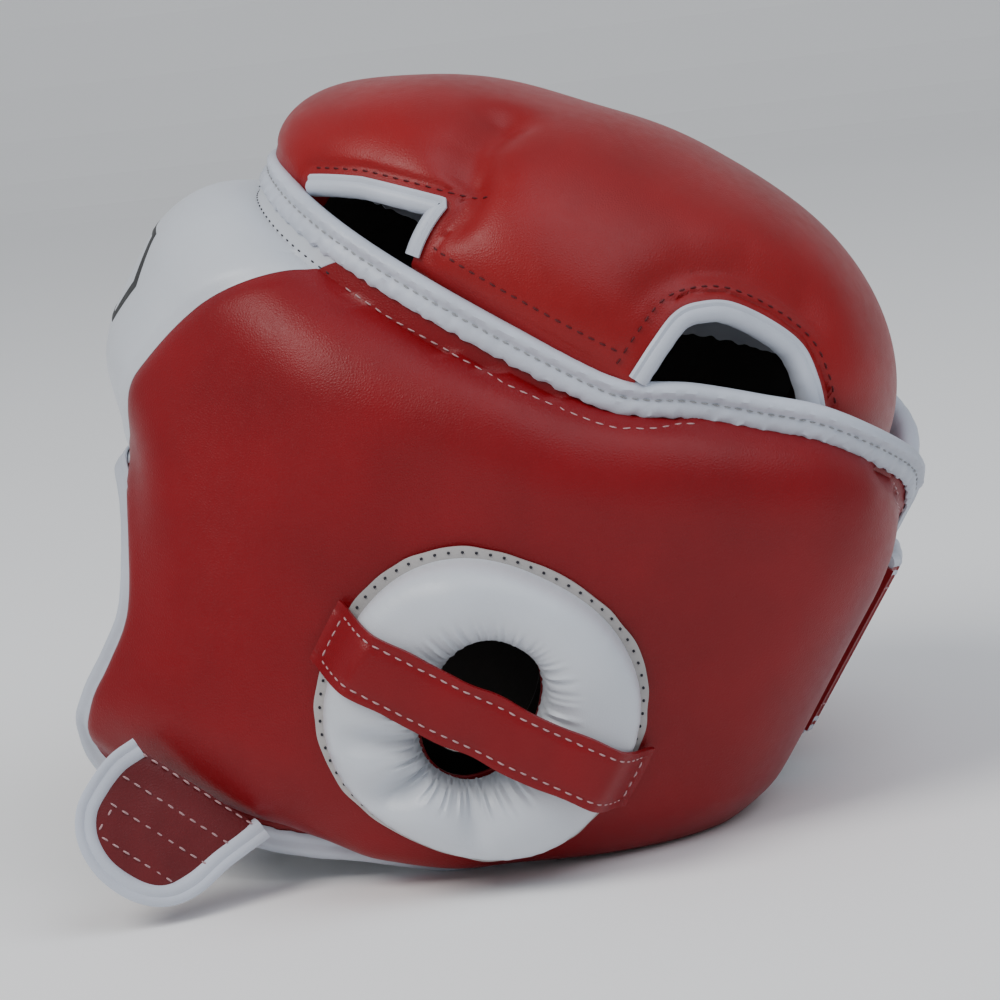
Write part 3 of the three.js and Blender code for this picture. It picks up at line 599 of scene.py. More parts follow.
def band_panels():
    """The two wings and the forehead: a padded cover and a lining each."""
    fine = 96
    wing = wing_grid(fine)
    height = wing_height(wing)
    angle, z = wing[..., 0], wing[..., 1]
    below = distance_to(BOUND[3][0], band(angle, z, 0.0))
    sag = (SAG * np.exp(-((below - SAG_HEIGHT) / SAG_WIDTH) ** 2)
           * (1 - smooth(146, 160, angle)) * smooth(86, 98, angle))
    hang = np.stack([0 * sag, 0 * sag, -sag], -1)
    cover = sheet_mesh(band(angle, z, height - COVER) + hang, band(angle, z, height) + hang)
    covers = pair("wing_cover", cover, RED)
    curl = turned_out(angle, z)
    lining = sheet_mesh(band(angle, z, curl), band(angle, z, curl + LINING))
    linings = pair("wing_lining", lining, BLACK)
    for piece, node in zip(covers, ("left", "right")):
        cut_hole(piece, 0.0)
        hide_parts(f"side_cover_{node}", f"side_foam_{node}")
    for piece, node in zip(linings, ("left", "right")):
        cut_hole(piece, 0.0)
        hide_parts(f"side_lining_{node}")
    front = forehead_grid(fine)
    height = wing_height(front)
    angle, z = front[..., 0], front[..., 1]
    points, faces = sheet_mesh(band(angle, z, height - COVER), band(angle, z, height))
    cover = make("forehead_pad", points, faces, WHITE)
    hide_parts("forehead_cover", "forehead_foam")
    curl = turned_out(angle, z)
    points, faces = sheet_mesh(band(angle, z, curl), band(angle, z, curl + LINING))
    lining = make("forehead_lining_cloth", points, faces, BLACK)
    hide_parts("forehead_lining")


# ---- folded bindings ----------------------------------------------------------------------------
# Sections as (out from the panel's edge, height over the lining), outer leg first.
WIDE_FOLD = [(-5.6, 3.62), (-5.7, 4.3), (-4.9, 4.95), (-3.4, 5.1), (-2.0, 4.95), (-1.1, 4.35),
             (-0.3, 4.4), (0.6, 5.2), (1.8, 5.6), (3.0, 5.1), (3.9, 3.9), (4.2, 2.4), (4.0, 0.9),
             (3.2, -0.5), (1.8, -1.2), (0.0, -1.35), (-2.5, -1.3), (-4.2, -1.1), (-4.3, -0.4),
             (-2.0, -0.35), (0.2, -0.35), (0.3, 1.5), (0.2, 3.62), (-2.5, 3.62)]
SLIM_FOLD = [(-3.4, 3.6), (-3.5, 4.15), (-2.8, 4.55), (-1.6, 4.6), (-0.9, 4.25), (-0.2, 4.35),
             (0.8, 4.9), (2.1, 4.9), (3.2, 4.2), (3.9, 3.0), (4.0, 1.6), (3.6, 0.3), (2.6, -0.7),
             (1.0, -1.15), (-1.0, -1.15), (-3.0, -1.05), (-3.1, -0.4), (-1.0, -0.35), (0.2, -0.35),
             (0.3, 1.5), (0.2, 3.6), (-1.6, 3.6)]
TAB_FOLD = [(-3.3, 1.9), (-3.4, 2.5), (-2.6, 2.9), (-1.5, 2.8), (-0.7, 2.4), (0.3, 2.7),
            (1.5, 2.7), (2.7, 2.0), (3.4, 0.9), (3.5, -0.3), (3.0, -1.5), (1.9, -2.2), (0.3, -2.4),
            (-1.6, -2.2), (-1.7, -1.6), (0.1, -1.5), (0.25, 0.0), (0.1, 1.7), (-1.6, 1.9)]
TAB_SIDE, STRAP_SIDE, CHIN_SIDE = -1, 1, 1      # which way each binding faces out


def out_of_edge(points, normals, side):
    """The way out of a panel at each point along its edge."""
    way = unit(np.gradient(points, axis=0))
    return unit(np.cross(way, normals)) * side


def fold(points, normals, side, section, seed, wrinkle=0.3, closed=False):
    """A strip folded over an edge, wrinkled along its length."""
    out = out_of_edge(points, normals, side)
    section = np.array(section)
    run = lengths_along(points)
    half = section[:, 0].max()
    loops = []
    for k, (o, h) in enumerate(section):
        leg = np.clip((half - o) / (half + 4), 0, 1)
        ripple = waves(run, seed + k % 3, 2.5, 9) * wrinkle * (0.3 + leg)
        edge = waves(run, seed + 11, 3, 8) * wrinkle * (1.0 if o < -2.4 else 0.15)
        outer = h > 3.9 or h < -0.9
        lift = ripple * (1 if h > 2 else -1) * (0.55 if outer else 0)
        shift = o + edge * (1.0 if h > 3.5 or h < -0.3 else 0.0)
        loops.append(points + out * shift[:, None] + normals * (h + lift)[:, None])
    return loft_mesh(np.stack(loops, 1), closed)


def edge_run(outline, count):
    at = spline(outline, count) if isinstance(outline, list) else outline
    angle, z = at[:, 0], at[:, 1]
    return band(angle, z, turned_out(angle, z)), band_normal(angle, z)


def edge_threads(name, outline, lift, inward, side, material, count=400, mirror=False, **sizes):
    """Stitches that run beside an edge, so far in from it."""
    points, normals = edge_run(outline, count)
    out = out_of_edge(points, normals, side)
    return stitches(name, points - out * inward + normals * lift, normals, material,
                    mirror=mirror, **sizes)


def band_bindings():
    top = mirrored(TOP_SIDE) + mirrored(TOP_FRONT)[1:-1] + TOP_FRONT + TOP_SIDE[1:]
    points, normals = edge_run(top, 620)
    piece = make("top_edge_fold", *fold(points, normals, -1, WIDE_FOLD, 21, 0.32), PIPING)
    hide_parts("top_binding")
    edge_threads("top_fold_stitches", top, 4.45, 0.7, -1, GREY_THREAD, 900, length=2.2,
                 space=1.1, radius=0.26)
    face = FACE + BROW[::-1][1:] + [[-a, z] for a, z in BROW][1:]
    face += mirrored(FACE)[1:]
    points, normals = edge_run(face, 460)
    piece = make("face_edge_fold", *fold(points, normals, -1, SLIM_FOLD, 33, 0.12), PIPING)
    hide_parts("face_binding")
    rim = JAW + BOTTOM[1:] + REAR[1:]
    points, normals = edge_run(rim, 420)
    shape = fold(points, normals, 1, SLIM_FOLD, 45, 0.15)
    for piece, node in zip(pair("wing_edge_fold", shape, PIPING), ("left", "right")):
        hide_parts(f"wing_binding_{node}")


band_panels()
band_bindings()


# ---- crown pad ------------------------------------------------------------------------------------
FRONT_VENT = [[32, 0], [43, 9], [50, 13], [57, 17], [58.5, 0]]
REAR_VENT = [[91, 0], [92, 12], [93.5, 21], [97, 26], [104, 30], [115, 30], [125, 27], [131, 20],
             [136, 11]]
REAR_TUCK = -12.0
RIM_TUCKS = ((5.6, 6.0), (4.9, 3.0), (2.5, 0.6))    # how far the rim turns down and in
CROWN_RIM = ([[0, 0], [16, 0]] + FRONT_VENT + [[69, 0], [80, 0]] + REAR_VENT
             + [[138, REAR_TUCK], [152, REAR_TUCK], [166, REAR_TUCK], [180, REAR_TUCK]])


def dome(turn, climb, depth):
    """Places on the crown: turn round it, climb from its rim to its peak, depth inside it."""
    turn_r, climb_r = np.radians(turn), np.radians(climb)
    front = np.abs(turn) < 90
    exponent = np.where(front, 2 / SQUARENESS, 1.0)
    length = np.where(front, CROWN_FRONT, CROWN_REAR) - depth
    x = (CROWN_HALF - depth) * power(np.sin(turn_r), exponent)
    y = -length * power(np.cos(turn_r), exponent)
    rim = TOP_EDGE + BIND + CROWN_GAP + 3.5 * np.maximum(0, np.cos(turn_r)) ** 2
    top = TOP_EDGE + BIND + CROWN_GAP + CROWN_HEIGHT - depth
    z = rim + (top - rim) * np.sin(climb_r)
    return np.stack([x * np.cos(climb_r), PEAK_Y + y * np.cos(climb_r), z], -1)


def rim_columns():
    """Turn and climb of the crown's rim, closely parted, from the back round the right."""
    half = []
    for (a0, c0), (a1, c1) in zip(CROWN_RIM[:-1], CROWN_RIM[1:]):
        steep = math.hypot((a1 - a0) * 1.5, c1 - c0)
        count = max(2, int(steep / 1.1))
        t = np.arange(count) / count
        half += [[a0 + (a1 - a0) * s, c0 + (c1 - c0) * s] for s in t]
    half.append(CROWN_RIM[-1])
    half = np.array(half)
    other = half[1:-1][::-1] * [-1, 1]
    return np.vstack([other, half])


def valley(points, line, width, depth):
    away = distance_to(np.array(line, float), points)
    away = np.minimum(away, distance_to(np.array(line, float), points * [-1, 1, 1]))
    return depth * np.exp(-(away / width) ** 2)


def crown_pad():
    """The crown's padded cover, notched for the vents, and the lining under it."""
    rim = rim_columns()
    rows = 64
    f = (np.linspace(0, 1, rows) ** 1.25)[:, None] * 0.985
    turn = np.repeat(rim[None, :, 0], rows, 0)
    climb = rim[None, :, 1] + (90 - rim[None, :, 1]) * f
    base = dome(turn, climb, 0.0)
    edge = dome(rim[:, 0], rim[:, 1], 0.0)
    notched = rim[:, 1] > 0.05
    away_rim, away_vent = np.full(turn.shape, 1e9), np.full(turn.shape, 1e9)
    closed = np.vstack([edge, edge[:1]])
    for k in range(len(rim)):
        span = closed[k:k + 2]
        if notched[k] or notched[(k + 1) % len(rim)]:
            away_vent = np.minimum(away_vent, distance_to(span, base))
        else:
            away_rim = np.minimum(away_rim, distance_to(span, base))
    away = np.minimum(away_rim, away_vent)
    normal = unit(dome(turn, climb, 0.0) - dome(turn, climb, 1.0))
    puff = -1.6 + 4.2 * rise((away_vent - 6.2) / 22) * rise((away_rim + 1.0) / 20)
    fold_line = [dome(58.5, 17, 0), dome(57, 26, 0), dome(50, 36, 0), dome(42, 47, 0)]
    dimple = [dome(92, 24, 0), dome(96, 36, 0), dome(108, 42, 0), dome(124, 40, 0)]
    puff = puff - valley(base, fold_line, 8.0, 5.4) * smooth(3, 12, away)
    puff = puff - valley(base, dimple, 13.0, 4.6) * smooth(3, 14, away)
    puff = puff + 0.7 * waves(base[..., 1] + base[..., 0] * 0.4, 8, 45, 110) * smooth(6, 30, away)
    outer = base + normal * puff[..., None]
    drop = (1 - notched)[:, None] * np.array([0, 0, -1.0])
    tucks = [outer[0] + drop * fall - normal[0] * depth for fall, depth in RIM_TUCKS]
    outer = np.concatenate([np.array(tucks), outer])
    facing = np.concatenate([np.repeat(normal[:1], 3, 0), normal])
    inner = outer - facing * COVER
    inner[:3] += np.array([0, 0, 0.9]) * (1 - notched)[None, :, None]
    points, faces = capped_sheet(inner, outer)
    # The crown's lighter red is painted light.
    cover = make("crown_pad_cover", points, faces, CROWN_RED_PAINTED_LIGHT)
    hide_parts("crown_cover", "crown_foam")
    depth = MARGIN + 2.2 + (CROWN_PAD - MARGIN - 2.2) * rise((away - 4) / 26)
    lower = (base - normal * depth[..., None])[2:]
    points, faces = capped_sheet(lower, lower + normal[2:] * LINING)
    lining = make("crown_lining_cloth", points, faces, BLACK)
    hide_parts("crown_lining")


def capped_sheet(inner, outer):
    """A closed dome-shaped sheet, each face of it closed over the peak."""
    points, faces = sheet_mesh(inner, outer, wrap=True)
    rows, columns = inner.shape[:2]
    lift = rows * columns
    faces = [f for f in faces if not all((v % lift) >= (rows - 1) * columns for v in f)]
    peaks = [inner[-1].mean(0), outer[-1].mean(0)]
    points = np.vstack([points, peaks])
    last = (rows - 1) * columns
    for j in range(columns):
        k = (j + 1) % columns
        faces.append((last + j, 2 * lift, last + k))
        faces.append((lift + last + j, lift + last + k, 2 * lift + 1))
    return repaired(points, faces)


def repaired(points, faces):
    """Turns every face of a closed surface the same way, outwards."""
    mesh = bpy.data.meshes.new("scratch")
    mesh.from_pydata(points.tolist(), [], faces)
    scratch = bpy.data.objects.new("scratch", mesh)
    bpy.context.collection.objects.link(scratch)
    bpy.ops.object.select_all(action="DESELECT")
    scratch.select_set(True)
    bpy.context.view_layer.objects.active = scratch
    bpy.ops.object.mode_set(mode="EDIT")
    bpy.ops.mesh.select_all(action="SELECT")
    bpy.ops.mesh.normals_make_consistent(inside=False)
    bpy.ops.object.mode_set(mode="OBJECT")
    fixed = [tuple(p.vertices) for p in mesh.polygons]
    bpy.data.objects.remove(scratch, do_unlink=True)
    bpy.data.meshes.remove(mesh)
    return points, fixed


VENT_FOLD = [(-2.2, 0.2), (-2.3, 1.0), (-1.4, 1.5), (-0.4, 1.1), (0.5, 1.5), (1.8, 1.4),
             (2.9, 0.6), (3.5, -0.7), (3.4, -2.4), (2.9, -4.2), (2.3, -5.8), (1.0, -6.4),
             (-0.6, -6.2), (-0.7, -5.5), (0.1, -4.5), (0.3, -2.0), (0.2, 0.1), (-1.0, 0.2)]


def vent_folds():
    """The white strips folded round the edges of the four vents."""
    for name, notch in (("front", FRONT_VENT), ("rear", REAR_VENT)):
        at = spline(notch, 120) if name == "rear" else evenly(np.array(notch, float), 120)
        surface = dome(at[:, 0], at[:, 1], 0.0)
        normals = unit(surface - dome(at[:, 0], at[:, 1], 1.0))
        base = surface - normals * 1.6
        shape = fold(base, normals, 1, VENT_FOLD, 61, 0.34)
        for piece, node in zip(pair(f"vent_fold_{name}", shape, PIPING), ("left", "right")):
            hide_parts(f"vent_binding_{name}_{node}")


def edge_part(outline, count, first=0.0, last=1.0):
    """Evenly parted [angle, z] points along part of an outline."""
    at = spline(outline, 400)
    low, high = int(first * 399), int(last * 399)
    return evenly(at[low:high + 1], count)


def raised(at, inward, side):
    """Points on the cover, so far in from an edge, with the surface's normals."""
    points, normals = edge_run(at, len(at))
    out = out_of_edge(points, normals, side)
    moved = points - out * np.asarray(inward)[..., None]
    sampled = np.array([surface_under(p, n) for p, n in zip(moved, normals)])
    return sampled, normals


def tree_of(*names):
    points, faces = [], []
    for name in names:
        mesh = bpy.data.objects[name].data
        base = len(points)
        points += [tuple(v.co) for v in mesh.vertices]
        faces += [[base + k for k in p.vertices] for p in mesh.polygons]
    return BVHTree.FromPolygons(points, faces)


def surface_under(point, normal):
    place, _, _, _ = COVERS.ray_cast(to_row(point + normal * 40).tolist(),
                                     (-direction_to_row(normal)).tolist(), 0.06)
    return point + normal * MARGIN if place is None else from_row(np.array(place))


def from_row(place):
    x, y, z = np.asarray(place) * 1000
    y, z = y - SHIFT_Y, z - SHIFT_Z
    return np.array([x, y * COS - z * SIN, y * SIN + z * COS])


def top_stitching():
    """The running stitch under the top binding, and dark dashes of painted shade for the needle holes on
    the white forehead.
    """
    side = edge_part(TOP_SIDE, 420, 0.0, 0.47)
    gap = np.interp(np.linspace(0, 1, 420), [0, 0.2, 0.55, 0.85, 1.0], [10.5, 11.0, 10.4, 7.6, 6.3])
    points, normals = raised(side, gap, -1)
    stitches("top_running_stitches", points + normals * 0.12, normals, PINK_THREAD, mirror=True,
             length=2.3, space=1.5, radius=0.27)
    front = edge_part(mirrored(TOP_FRONT) + TOP_FRONT[1:], 360, 0.03, 0.97)
    points, normals = raised(front, np.full(360, 10.0), -1)
    stitches("forehead_needle_marks", points + normals * 0.02, normals, NEEDLE_HOLE_SHADE, length=1.5,
             space=1.9, radius=0.26)
    corner = edge_part(TOP_SIDE, 260, 0.86, 0.985)
    for name, inward in (("outer", 7.5), ("inner", 12.0)):
        ramped = inward + np.linspace(0, 3.0, 260)
        points, normals = raised(corner, ramped, -1)
        stitches(f"rear_corner_stitches_{name}", points + normals * 0.12, normals, PINK_THREAD,
                 mirror=True, length=2.2, space=1.3, radius=0.32)
    rear = edge_part(REAR, 200, 0.05, 0.97)
    points, normals = raised(rear, np.full(200, 5.2), 1)
    stitches("rear_edge_stitches", points + normals * 0.12, normals, PINK_THREAD, mirror=True,
             length=2.3, space=1.5, radius=0.27)


def seam_piping():
    """The sewn line where the white forehead meets each red wing."""
    at = edge_part(SEAM, 260, 0.02, 0.985)
    points, normals = raised(at, np.zeros(260), 1)
    loops = []
    way = unit(np.gradient(points, axis=0))
    side = unit(np.cross(way, normals))
    for k in range(6):
        turn = 2 * math.pi * k / 6
        loops.append(points + side * math.cos(turn) * 0.55 + normals * (math.sin(turn) * 0.45 - 0.25))
    for piece in pair("forehead_seam", loft_mesh(np.array(loops).transpose(1, 0, 2)), PIPING):
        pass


EMBLEM = [(-41, 0), (-31, 15), (31, 15), (41, 0), (31, -15), (-31, -15)]
EMBLEM_INNER, EMBLEM_Z, PRINT_LIFT, PRINT_DEPTH = 0.87, 50.0, 0.14, 0.3


def emblem():
    """A plain six-sided printed outline on the forehead."""
    shape = np.array(EMBLEM, float)
    points, faces = [], []
    steps = 14
    for ring_share in (1.0, EMBLEM_INNER):
        for k in range(6):
            a, b = shape[k] * ring_share, shape[(k + 1) % 6] * ring_share
            for t in np.arange(steps) / steps:
                points.append(a + (b - a) * t)
    count = 6 * steps
    placed = []
    for across, up in points:
        angle = float(np.interp(across, band(ANGLES_BOTH, EMBLEM_Z, FOREHEAD_PAD)[:, 0], ANGLES_BOTH))
        base, normal = band(angle, EMBLEM_Z + up, 0.0), band_normal(angle, EMBLEM_Z + up)
        placed.append(surface_under(base, normal) + normal * PRINT_LIFT)
    for low in list(placed):
        placed.append(low - unit([low[0], low[1], 0]) * PRINT_DEPTH)
    total = 2 * count
    for k in range(count):
        n = (k + 1) % count
        faces.append((k, n, count + n, count + k))
        faces.append((total + k, total + count + k, total + count + n, total + n))
        faces.append((k, total + k, total + n, n))
        faces.append((count + k, count + n, total + count + n, total + count + k))
    points, faces = repaired(np.array(placed), faces)
    piece = make("forehead_emblem", points, faces, PRINT)


ANGLES_BOTH = np.linspace(-60, 60, 241)
COVERS = tree_of("wing_cover_left", "wing_cover_right", "forehead_pad")


def crown_line(name, at, depth, material, side=1, **sizes):
    """Stitches on the crown pad beside a run of [turn, climb] points."""
    surface = dome(at[:, 0], at[:, 1], 0.0)
    normals = unit(surface - dome(at[:, 0], at[:, 1], 1.0))
    out = out_of_edge(surface, normals, side)
    points = surface - out * depth
    found = []
    for point, normal in zip(points, normals):
        place, _, _, _ = CROWN.ray_cast(to_row(point + normal * 30).tolist(),
                                        (-direction_to_row(normal)).tolist(), 0.06)
        found.append(point if place is None else from_row(np.array(place)))
    stitches(name, np.array(found) + normals * 0.1, normals, material, mirror=True, **sizes)


def crown_stitching():
    marks = dict(length=2.0, space=1.5, radius=0.3)
    front = evenly(np.array([[32, 0.0], *FRONT_VENT[1:4], [63, 22]], float), 160)
    crown_line("front_vent_stitches", front, 4.6, RED_THREAD, 1, **marks)
    crown_line("rear_vent_stitches", spline(REAR_VENT, 160), 7.0, RED_THREAD, 1, **marks)
    rim = np.stack([np.linspace(60, 88, 120), np.full(120, 0.0)], -1)
    crown_line("crown_rim_stitches", rim, 5.0, RED_THREAD, 1, **marks)


crown_pad()
vent_folds()
CROWN = tree_of("crown_pad_cover")
top_stitching()
seam_piping()
emblem()
crown_stitching()


# ---- ear rings -------------------------------------------------------------------------------------
def ear_point(y, z, lift):
    seat = SIDE_PAD + 2 * GAP
    angle = angle_at_y(y, seat)
    return band(angle, z, seat + lift)


def ear_outline(half_long, half_high, turn):
    y = EAR_Y + half_long * power(np.cos(turn), 2 / 2.3)
    z = half_high * power(np.sin(turn), 2 / 2.3)
    return y, z


# The ring's creases as (turn, width, share), and how deep the deepest is.
CREASES, CREASE_DEPTH = ((4.35, 0.16, 1.0), (3.75, 0.13, 0.7), (5.1, 0.12, 0.45)), 6.2


def ear_ring():
    """The puffy ring round the ear, pleated where it turns into the hole."""
    steps, arc_steps = 300, 40
    turn = np.linspace(0, 2 * math.pi, steps + 1)[:-1]
    hole_y, hole_z = ear_outline(HOLE_LONG - 0.3, HOLE_HIGH - 0.3, turn)
    rim_y, rim_z = ear_outline(RING_LONG, RING_HIGH, turn)
    run = lengths_along(np.stack([rim_y, rim_z], -1))
    pleat = waves(run, 5, 3.2, 8, 9)
    broad = waves(run, 6, 20, 60, 5)
    t = np.linspace(0, 1, arc_steps)
    rows_outer, rows_inner = [], []
    crease = sum(share * np.exp(-((turn - at) / width) ** 2) for at, width, share in CREASES)
    for k in t:
        across = 0.5 - 0.5 * math.cos(k * math.pi)
        height = 1.8 + (RING_HEIGHT - 2.2) * math.sin(k * math.pi) ** 0.62
        near_hole = max(0.0, 1 - k / 0.42)
        near_rim = max(0.0, (k - 0.72) / 0.28)
        fade = math.sin(min(1.0, k * 6) * math.pi / 2)
        ripple = pleat * (1.6 * near_hole ** 0.7 + 0.55 * near_rim) * fade
        lift = height + ripple * (0.5 + 0.5 * near_hole) + 0.85 * broad * math.sin(k * math.pi)
        lift = lift - crease * CREASE_DEPTH * math.sin(min(1, k * 1.25) * math.pi) ** 1.2
        lift = np.maximum(lift, 1.6)
        inward = across + (0.012 * pleat * near_hole)
        y = hole_y + (rim_y - hole_y) * inward
        z = hole_z + (rim_z - hole_z) * inward
        rows_outer.append(ear_point(y, z, lift))
    outer = np.array(rows_outer)
    for k in (1.0, 0.9, 0.5, 0.1, 0.0):
        y = hole_y + (rim_y - hole_y) * k
        z = hole_z + (rim_z - hole_z) * k
        rows_inner.append(ear_point(y, z, 1.5))
    loops = np.concatenate([outer, np.array(rows_inner)], 0).transpose(1, 0, 2)
    for piece, node in zip(pair("ear_ring_pad", loft_mesh(loops, True), WHITE), ("left", "right")):
        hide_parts(f"ear_ring_cover_{node}", f"ear_ring_foam_{node}")


def ear_flange():
    """The raw cut leather that shows round the ring, with dark dashes of painted shade for its needle
    holes.
    """
    steps = 260
    turn = np.linspace(0, 2 * math.pi, steps + 1)[:-1]
    hole_y, hole_z = ear_outline(HOLE_LONG, HOLE_HIGH, turn)
    rim_y, rim_z = ear_outline(RING_LONG, RING_HIGH, turn)
    wall = 26.5
    ragged = 0.22 * waves(turn * RING_LONG, 17, 7, 34, 8)
    loops = []
    for out, lift in ((-22.0, 0.0), (FLANGE, 0.0), (FLANGE, 1.25), (-0.6, 1.45), (-22.0, 1.2)):
        share = 1 + (out + (ragged if out == FLANGE else 0)) / wall
        loops.append(ear_point(hole_y + (rim_y - hole_y) * share, hole_z + (rim_z - hole_z) * share, lift))
    shape = loft_mesh(np.array(loops).transpose(1, 0, 2), True)
    for piece, node in zip(pair("ear_flange", shape, RAW), ("left", "right")):
        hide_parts(f"ear_base_{node}")
    fine = np.linspace(0, 2 * math.pi, 721)
    hole_y, hole_z = ear_outline(HOLE_LONG, HOLE_HIGH, fine)
    rim_y, rim_z = ear_outline(RING_LONG, RING_HIGH, fine)
    share = 1 + 1.9 / wall
    line = ear_point(hole_y + (rim_y - hole_y) * share, hole_z + (rim_z - hole_z) * share, 1.35)
    normals = unit(ear_point(rim_y, rim_z, 2.0) - ear_point(rim_y, rim_z, 1.0))
    stitches("ear_needle_holes", line, normals, NEEDLE_HOLE_SHADE, mirror=True, length=1.0, space=2.9, radius=0.42)


def ear_strap():
    """The flat strap that rides over the ring, stitched along both edges and at its ends."""
    reach = RING_LONG + FLANGE + 3.0
    stations = np.linspace(-1, 1, 110)
    ride = 1.5 + (RING_HEIGHT + 0.7 - 1.5) * smooth(0, 1, (1 - np.abs(stations)) / 0.3) ** 0.8
    sag = -0.9 * np.exp(-(stations / 0.25) ** 2)
    across = np.linspace(-1, 1, 25)
    y = EAR_Y + stations[None, :] * reach + 0 * across[:, None]
    z = across[:, None] * EAR_STRAP_WIDTH / 2 + 0.25 * waves(stations * 48, 31, 12, 30)[None, :]
    bow = 0.7 * (1 - across ** 2)[:, None]
    stitch_dip = -0.45 * np.exp(-((np.abs(across) - 0.74) / 0.09) ** 2)[:, None]
    wave = 0.35 * waves(stations * 48, 14, 8, 26)[None, :] * (0.4 + 0.6 * np.abs(across))[:, None]
    top = ride[None, :] + sag[None, :] + 1.6 + bow + stitch_dip + wave
    shape = sheet_mesh(ear_point(y, z, top - 1.7), ear_point(y, z, top))
    for piece, node in zip(pair("ear_cross_strap", shape, RED), ("left", "right")):
        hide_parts(f"ear_strap_{node}")
    fine = np.linspace(-0.93, 0.93, 500)
    for name, w in (("upper", 0.74), ("lower", -0.74)):
        height = np.interp(fine, stations, top[np.abs(across - w).argmin()])
        high = w * EAR_STRAP_WIDTH / 2 + 0 * fine
        line = ear_point(EAR_Y + fine * reach, high, height + 0.1)
        above = ear_point(EAR_Y + fine * reach, high, height + 1.1)
        stitches(f"ear_strap_stitches_{name}", line, unit(above - line), PINK_THREAD, mirror=True,
                 length=2.2, space=1.3, radius=0.3)
    for name, s in (("front", -0.93), ("rear", 0.93)):
        w = np.linspace(-0.66, 0.66, 40)
        height = np.interp(s, stations, top[12]) + 0.05
        line = ear_point(EAR_Y + s * reach + 0 * w, w * EAR_STRAP_WIDTH / 2, height + 0 * w)
        above = ear_point(EAR_Y + s * reach + 0 * w, w * EAR_STRAP_WIDTH / 2, height + 1 + 0 * w)
        stitches(f"ear_strap_bar_{name}", line, unit(above - line), PINK_THREAD, mirror=True,
                 length=2.0, space=1.1, radius=0.3)


ear_ring()
ear_flange()
ear_strap()


# ---- chin tab on the left, chin strap on the right, rear closure --------------------------------------
TAB_OUTLINE = np.array([[0, 0], [-0.07, 0.21], [-0.09, 0.45], [-0.07, 0.67], [0.04, 0.86],
                        [0.24, 0.98], [0.48, 0.99], [0.67, 0.89], [0.79, 0.69], [0.87, 0.38], [1, 0]])
TAB_WIDTH, TAB_LENGTH, TAB_FLARE, TAB_MIDDLE = 46.0, 42.0, math.radians(30), 0.48


def cheek_point(y, z, lift):
    """A place over the cheek's padding, for what is sewn on there."""
    angle = float(np.interp(y, band(ANGLES, z, SIDE_PAD / 2)[:, 1], ANGLES))
    place = band(np.array([angle]), np.array([z]), 0.0)
    factor = np.ones(1)
    for line, _ in BOUND:
        factor = factor * rise((distance_to(line, place) - 5.0) / 24.0)
    lift_off = MARGIN + (float(full_pad(angle)) - MARGIN) * float(factor[0]) + lift
    return band(angle, z, lift_off)


def cheek_seam():
    """The two ends of the line on the cheek that the tab is sewn along."""
    return cheek_point(-53, -58, 4.2), cheek_point(-8, -66, 4.2)


def tab_place():
    """Turns tab coordinates (along the seam, down, out) into places, and gives its outward way."""
    start, end = cheek_seam()
    across = unit(end - start)
    flat = unit([across[0], across[1], 0])
    outward = np.array([flat[1], -flat[0], 0])
    outward = outward if outward[0] > 0 else -outward
    down = unit(np.cross(across, outward))
    down = down if down[2] < 0 else -down
    out = unit(np.cross(down, across))
    out = out if out[0] > 0 else -out
    lean_down = down * math.cos(TAB_FLARE) + out * math.sin(TAB_FLARE)
    lean_out = out * math.cos(TAB_FLARE) - down * math.sin(TAB_FLARE)
    start = start + lean_out * 1.2

    def place(a, b, h):
        a, b, h = np.broadcast_arrays(a, b, h)
        return start + a[..., None] * across + b[..., None] * lean_down + h[..., None] * lean_out

    return place, lean_out


def chin_tab():
    """The tab on the left cheek, its binding, and its rows and box of stitches."""
    place, out = tab_place()
    outline = spline(TAB_OUTLINE * [TAB_WIDTH, TAB_LENGTH * 0.9] + [0, 1], 260)
    centre = np.array([TAB_WIDTH * TAB_MIDDLE, 18.0])
    inset = centre + (outline - centre) * 0.93
    shares = np.linspace(0, 1, 30)
    fill = centre[None] + (inset[:, None] - centre[None]) * shares[None, :, None]
    a, b = fill[..., 0], fill[..., 1]
    crinkle = 0.35 * np.sin(a / 3.1 + 2 * np.sin(b / 9)) * smooth(0, 9, b)
    crinkle = crinkle * smooth(0, 0.5, shares)[None, :]
    top = place(a, b, 2.5 + 1.1 * (1 - shares[None, :] ** 4) + crinkle)
    low = place(a, b, 0.1 - 0.3 * (1 - shares[None, :] ** 4) + crinkle * 0.5)
    loops = np.concatenate([low, top[:, ::-1]], 1)
    points, faces = loft_mesh(loops, True)
    # The tab's darker red is painted shade; the tab is the same leather as the wings.
    piece = make("chin_tab_leather", points, faces, TAB_RED_PAINTED_SHADE, "chin_tab")
    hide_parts("chin_tab")
    base = place(inset[:, 0], inset[:, 1], 1.4)
    normals = np.repeat(out[None], len(base), 0)
    shape = fold(base, normals, TAB_SIDE, TAB_FOLD, 71, 0.34)
    piece = make("chin_tab_fold", *shape, PIPING, "chin_tab")
    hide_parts("chin_tab_binding")
    for name, b, a0, a1 in (("seam", 3.0, 2, 42), ("mid", 11.5, 1, 39), ("box_top", 20.0, 2, 37),
                            ("box_low", 29.5, 5, 34)):
        run = np.linspace(a0, a1, 120)
        line = place(run, b + 0 * run, 3.5)
        stitches(f"chin_tab_stitches_{name}", line, np.repeat(out[None], 120, 0), PINK_THREAD,
                 "chin_tab", length=2.2, space=1.3, radius=0.3)
    for name, a in (("front", 4.0), ("rear", 35.0)):
        run = np.linspace(20.0, 29.5, 40)
        line = place(a + 0 * run, run, 3.4)
        stitches(f"chin_tab_box_{name}", line, np.repeat(out[None], 40, 0), PINK_THREAD,
                 "chin_tab", length=2.2, space=1.3, radius=0.3)


chin_tab()


REAR_STRAP_Z, REAR_STRAP_HALF, REAR_STRAP_LIFT = 46.0, 28.0, 12.0


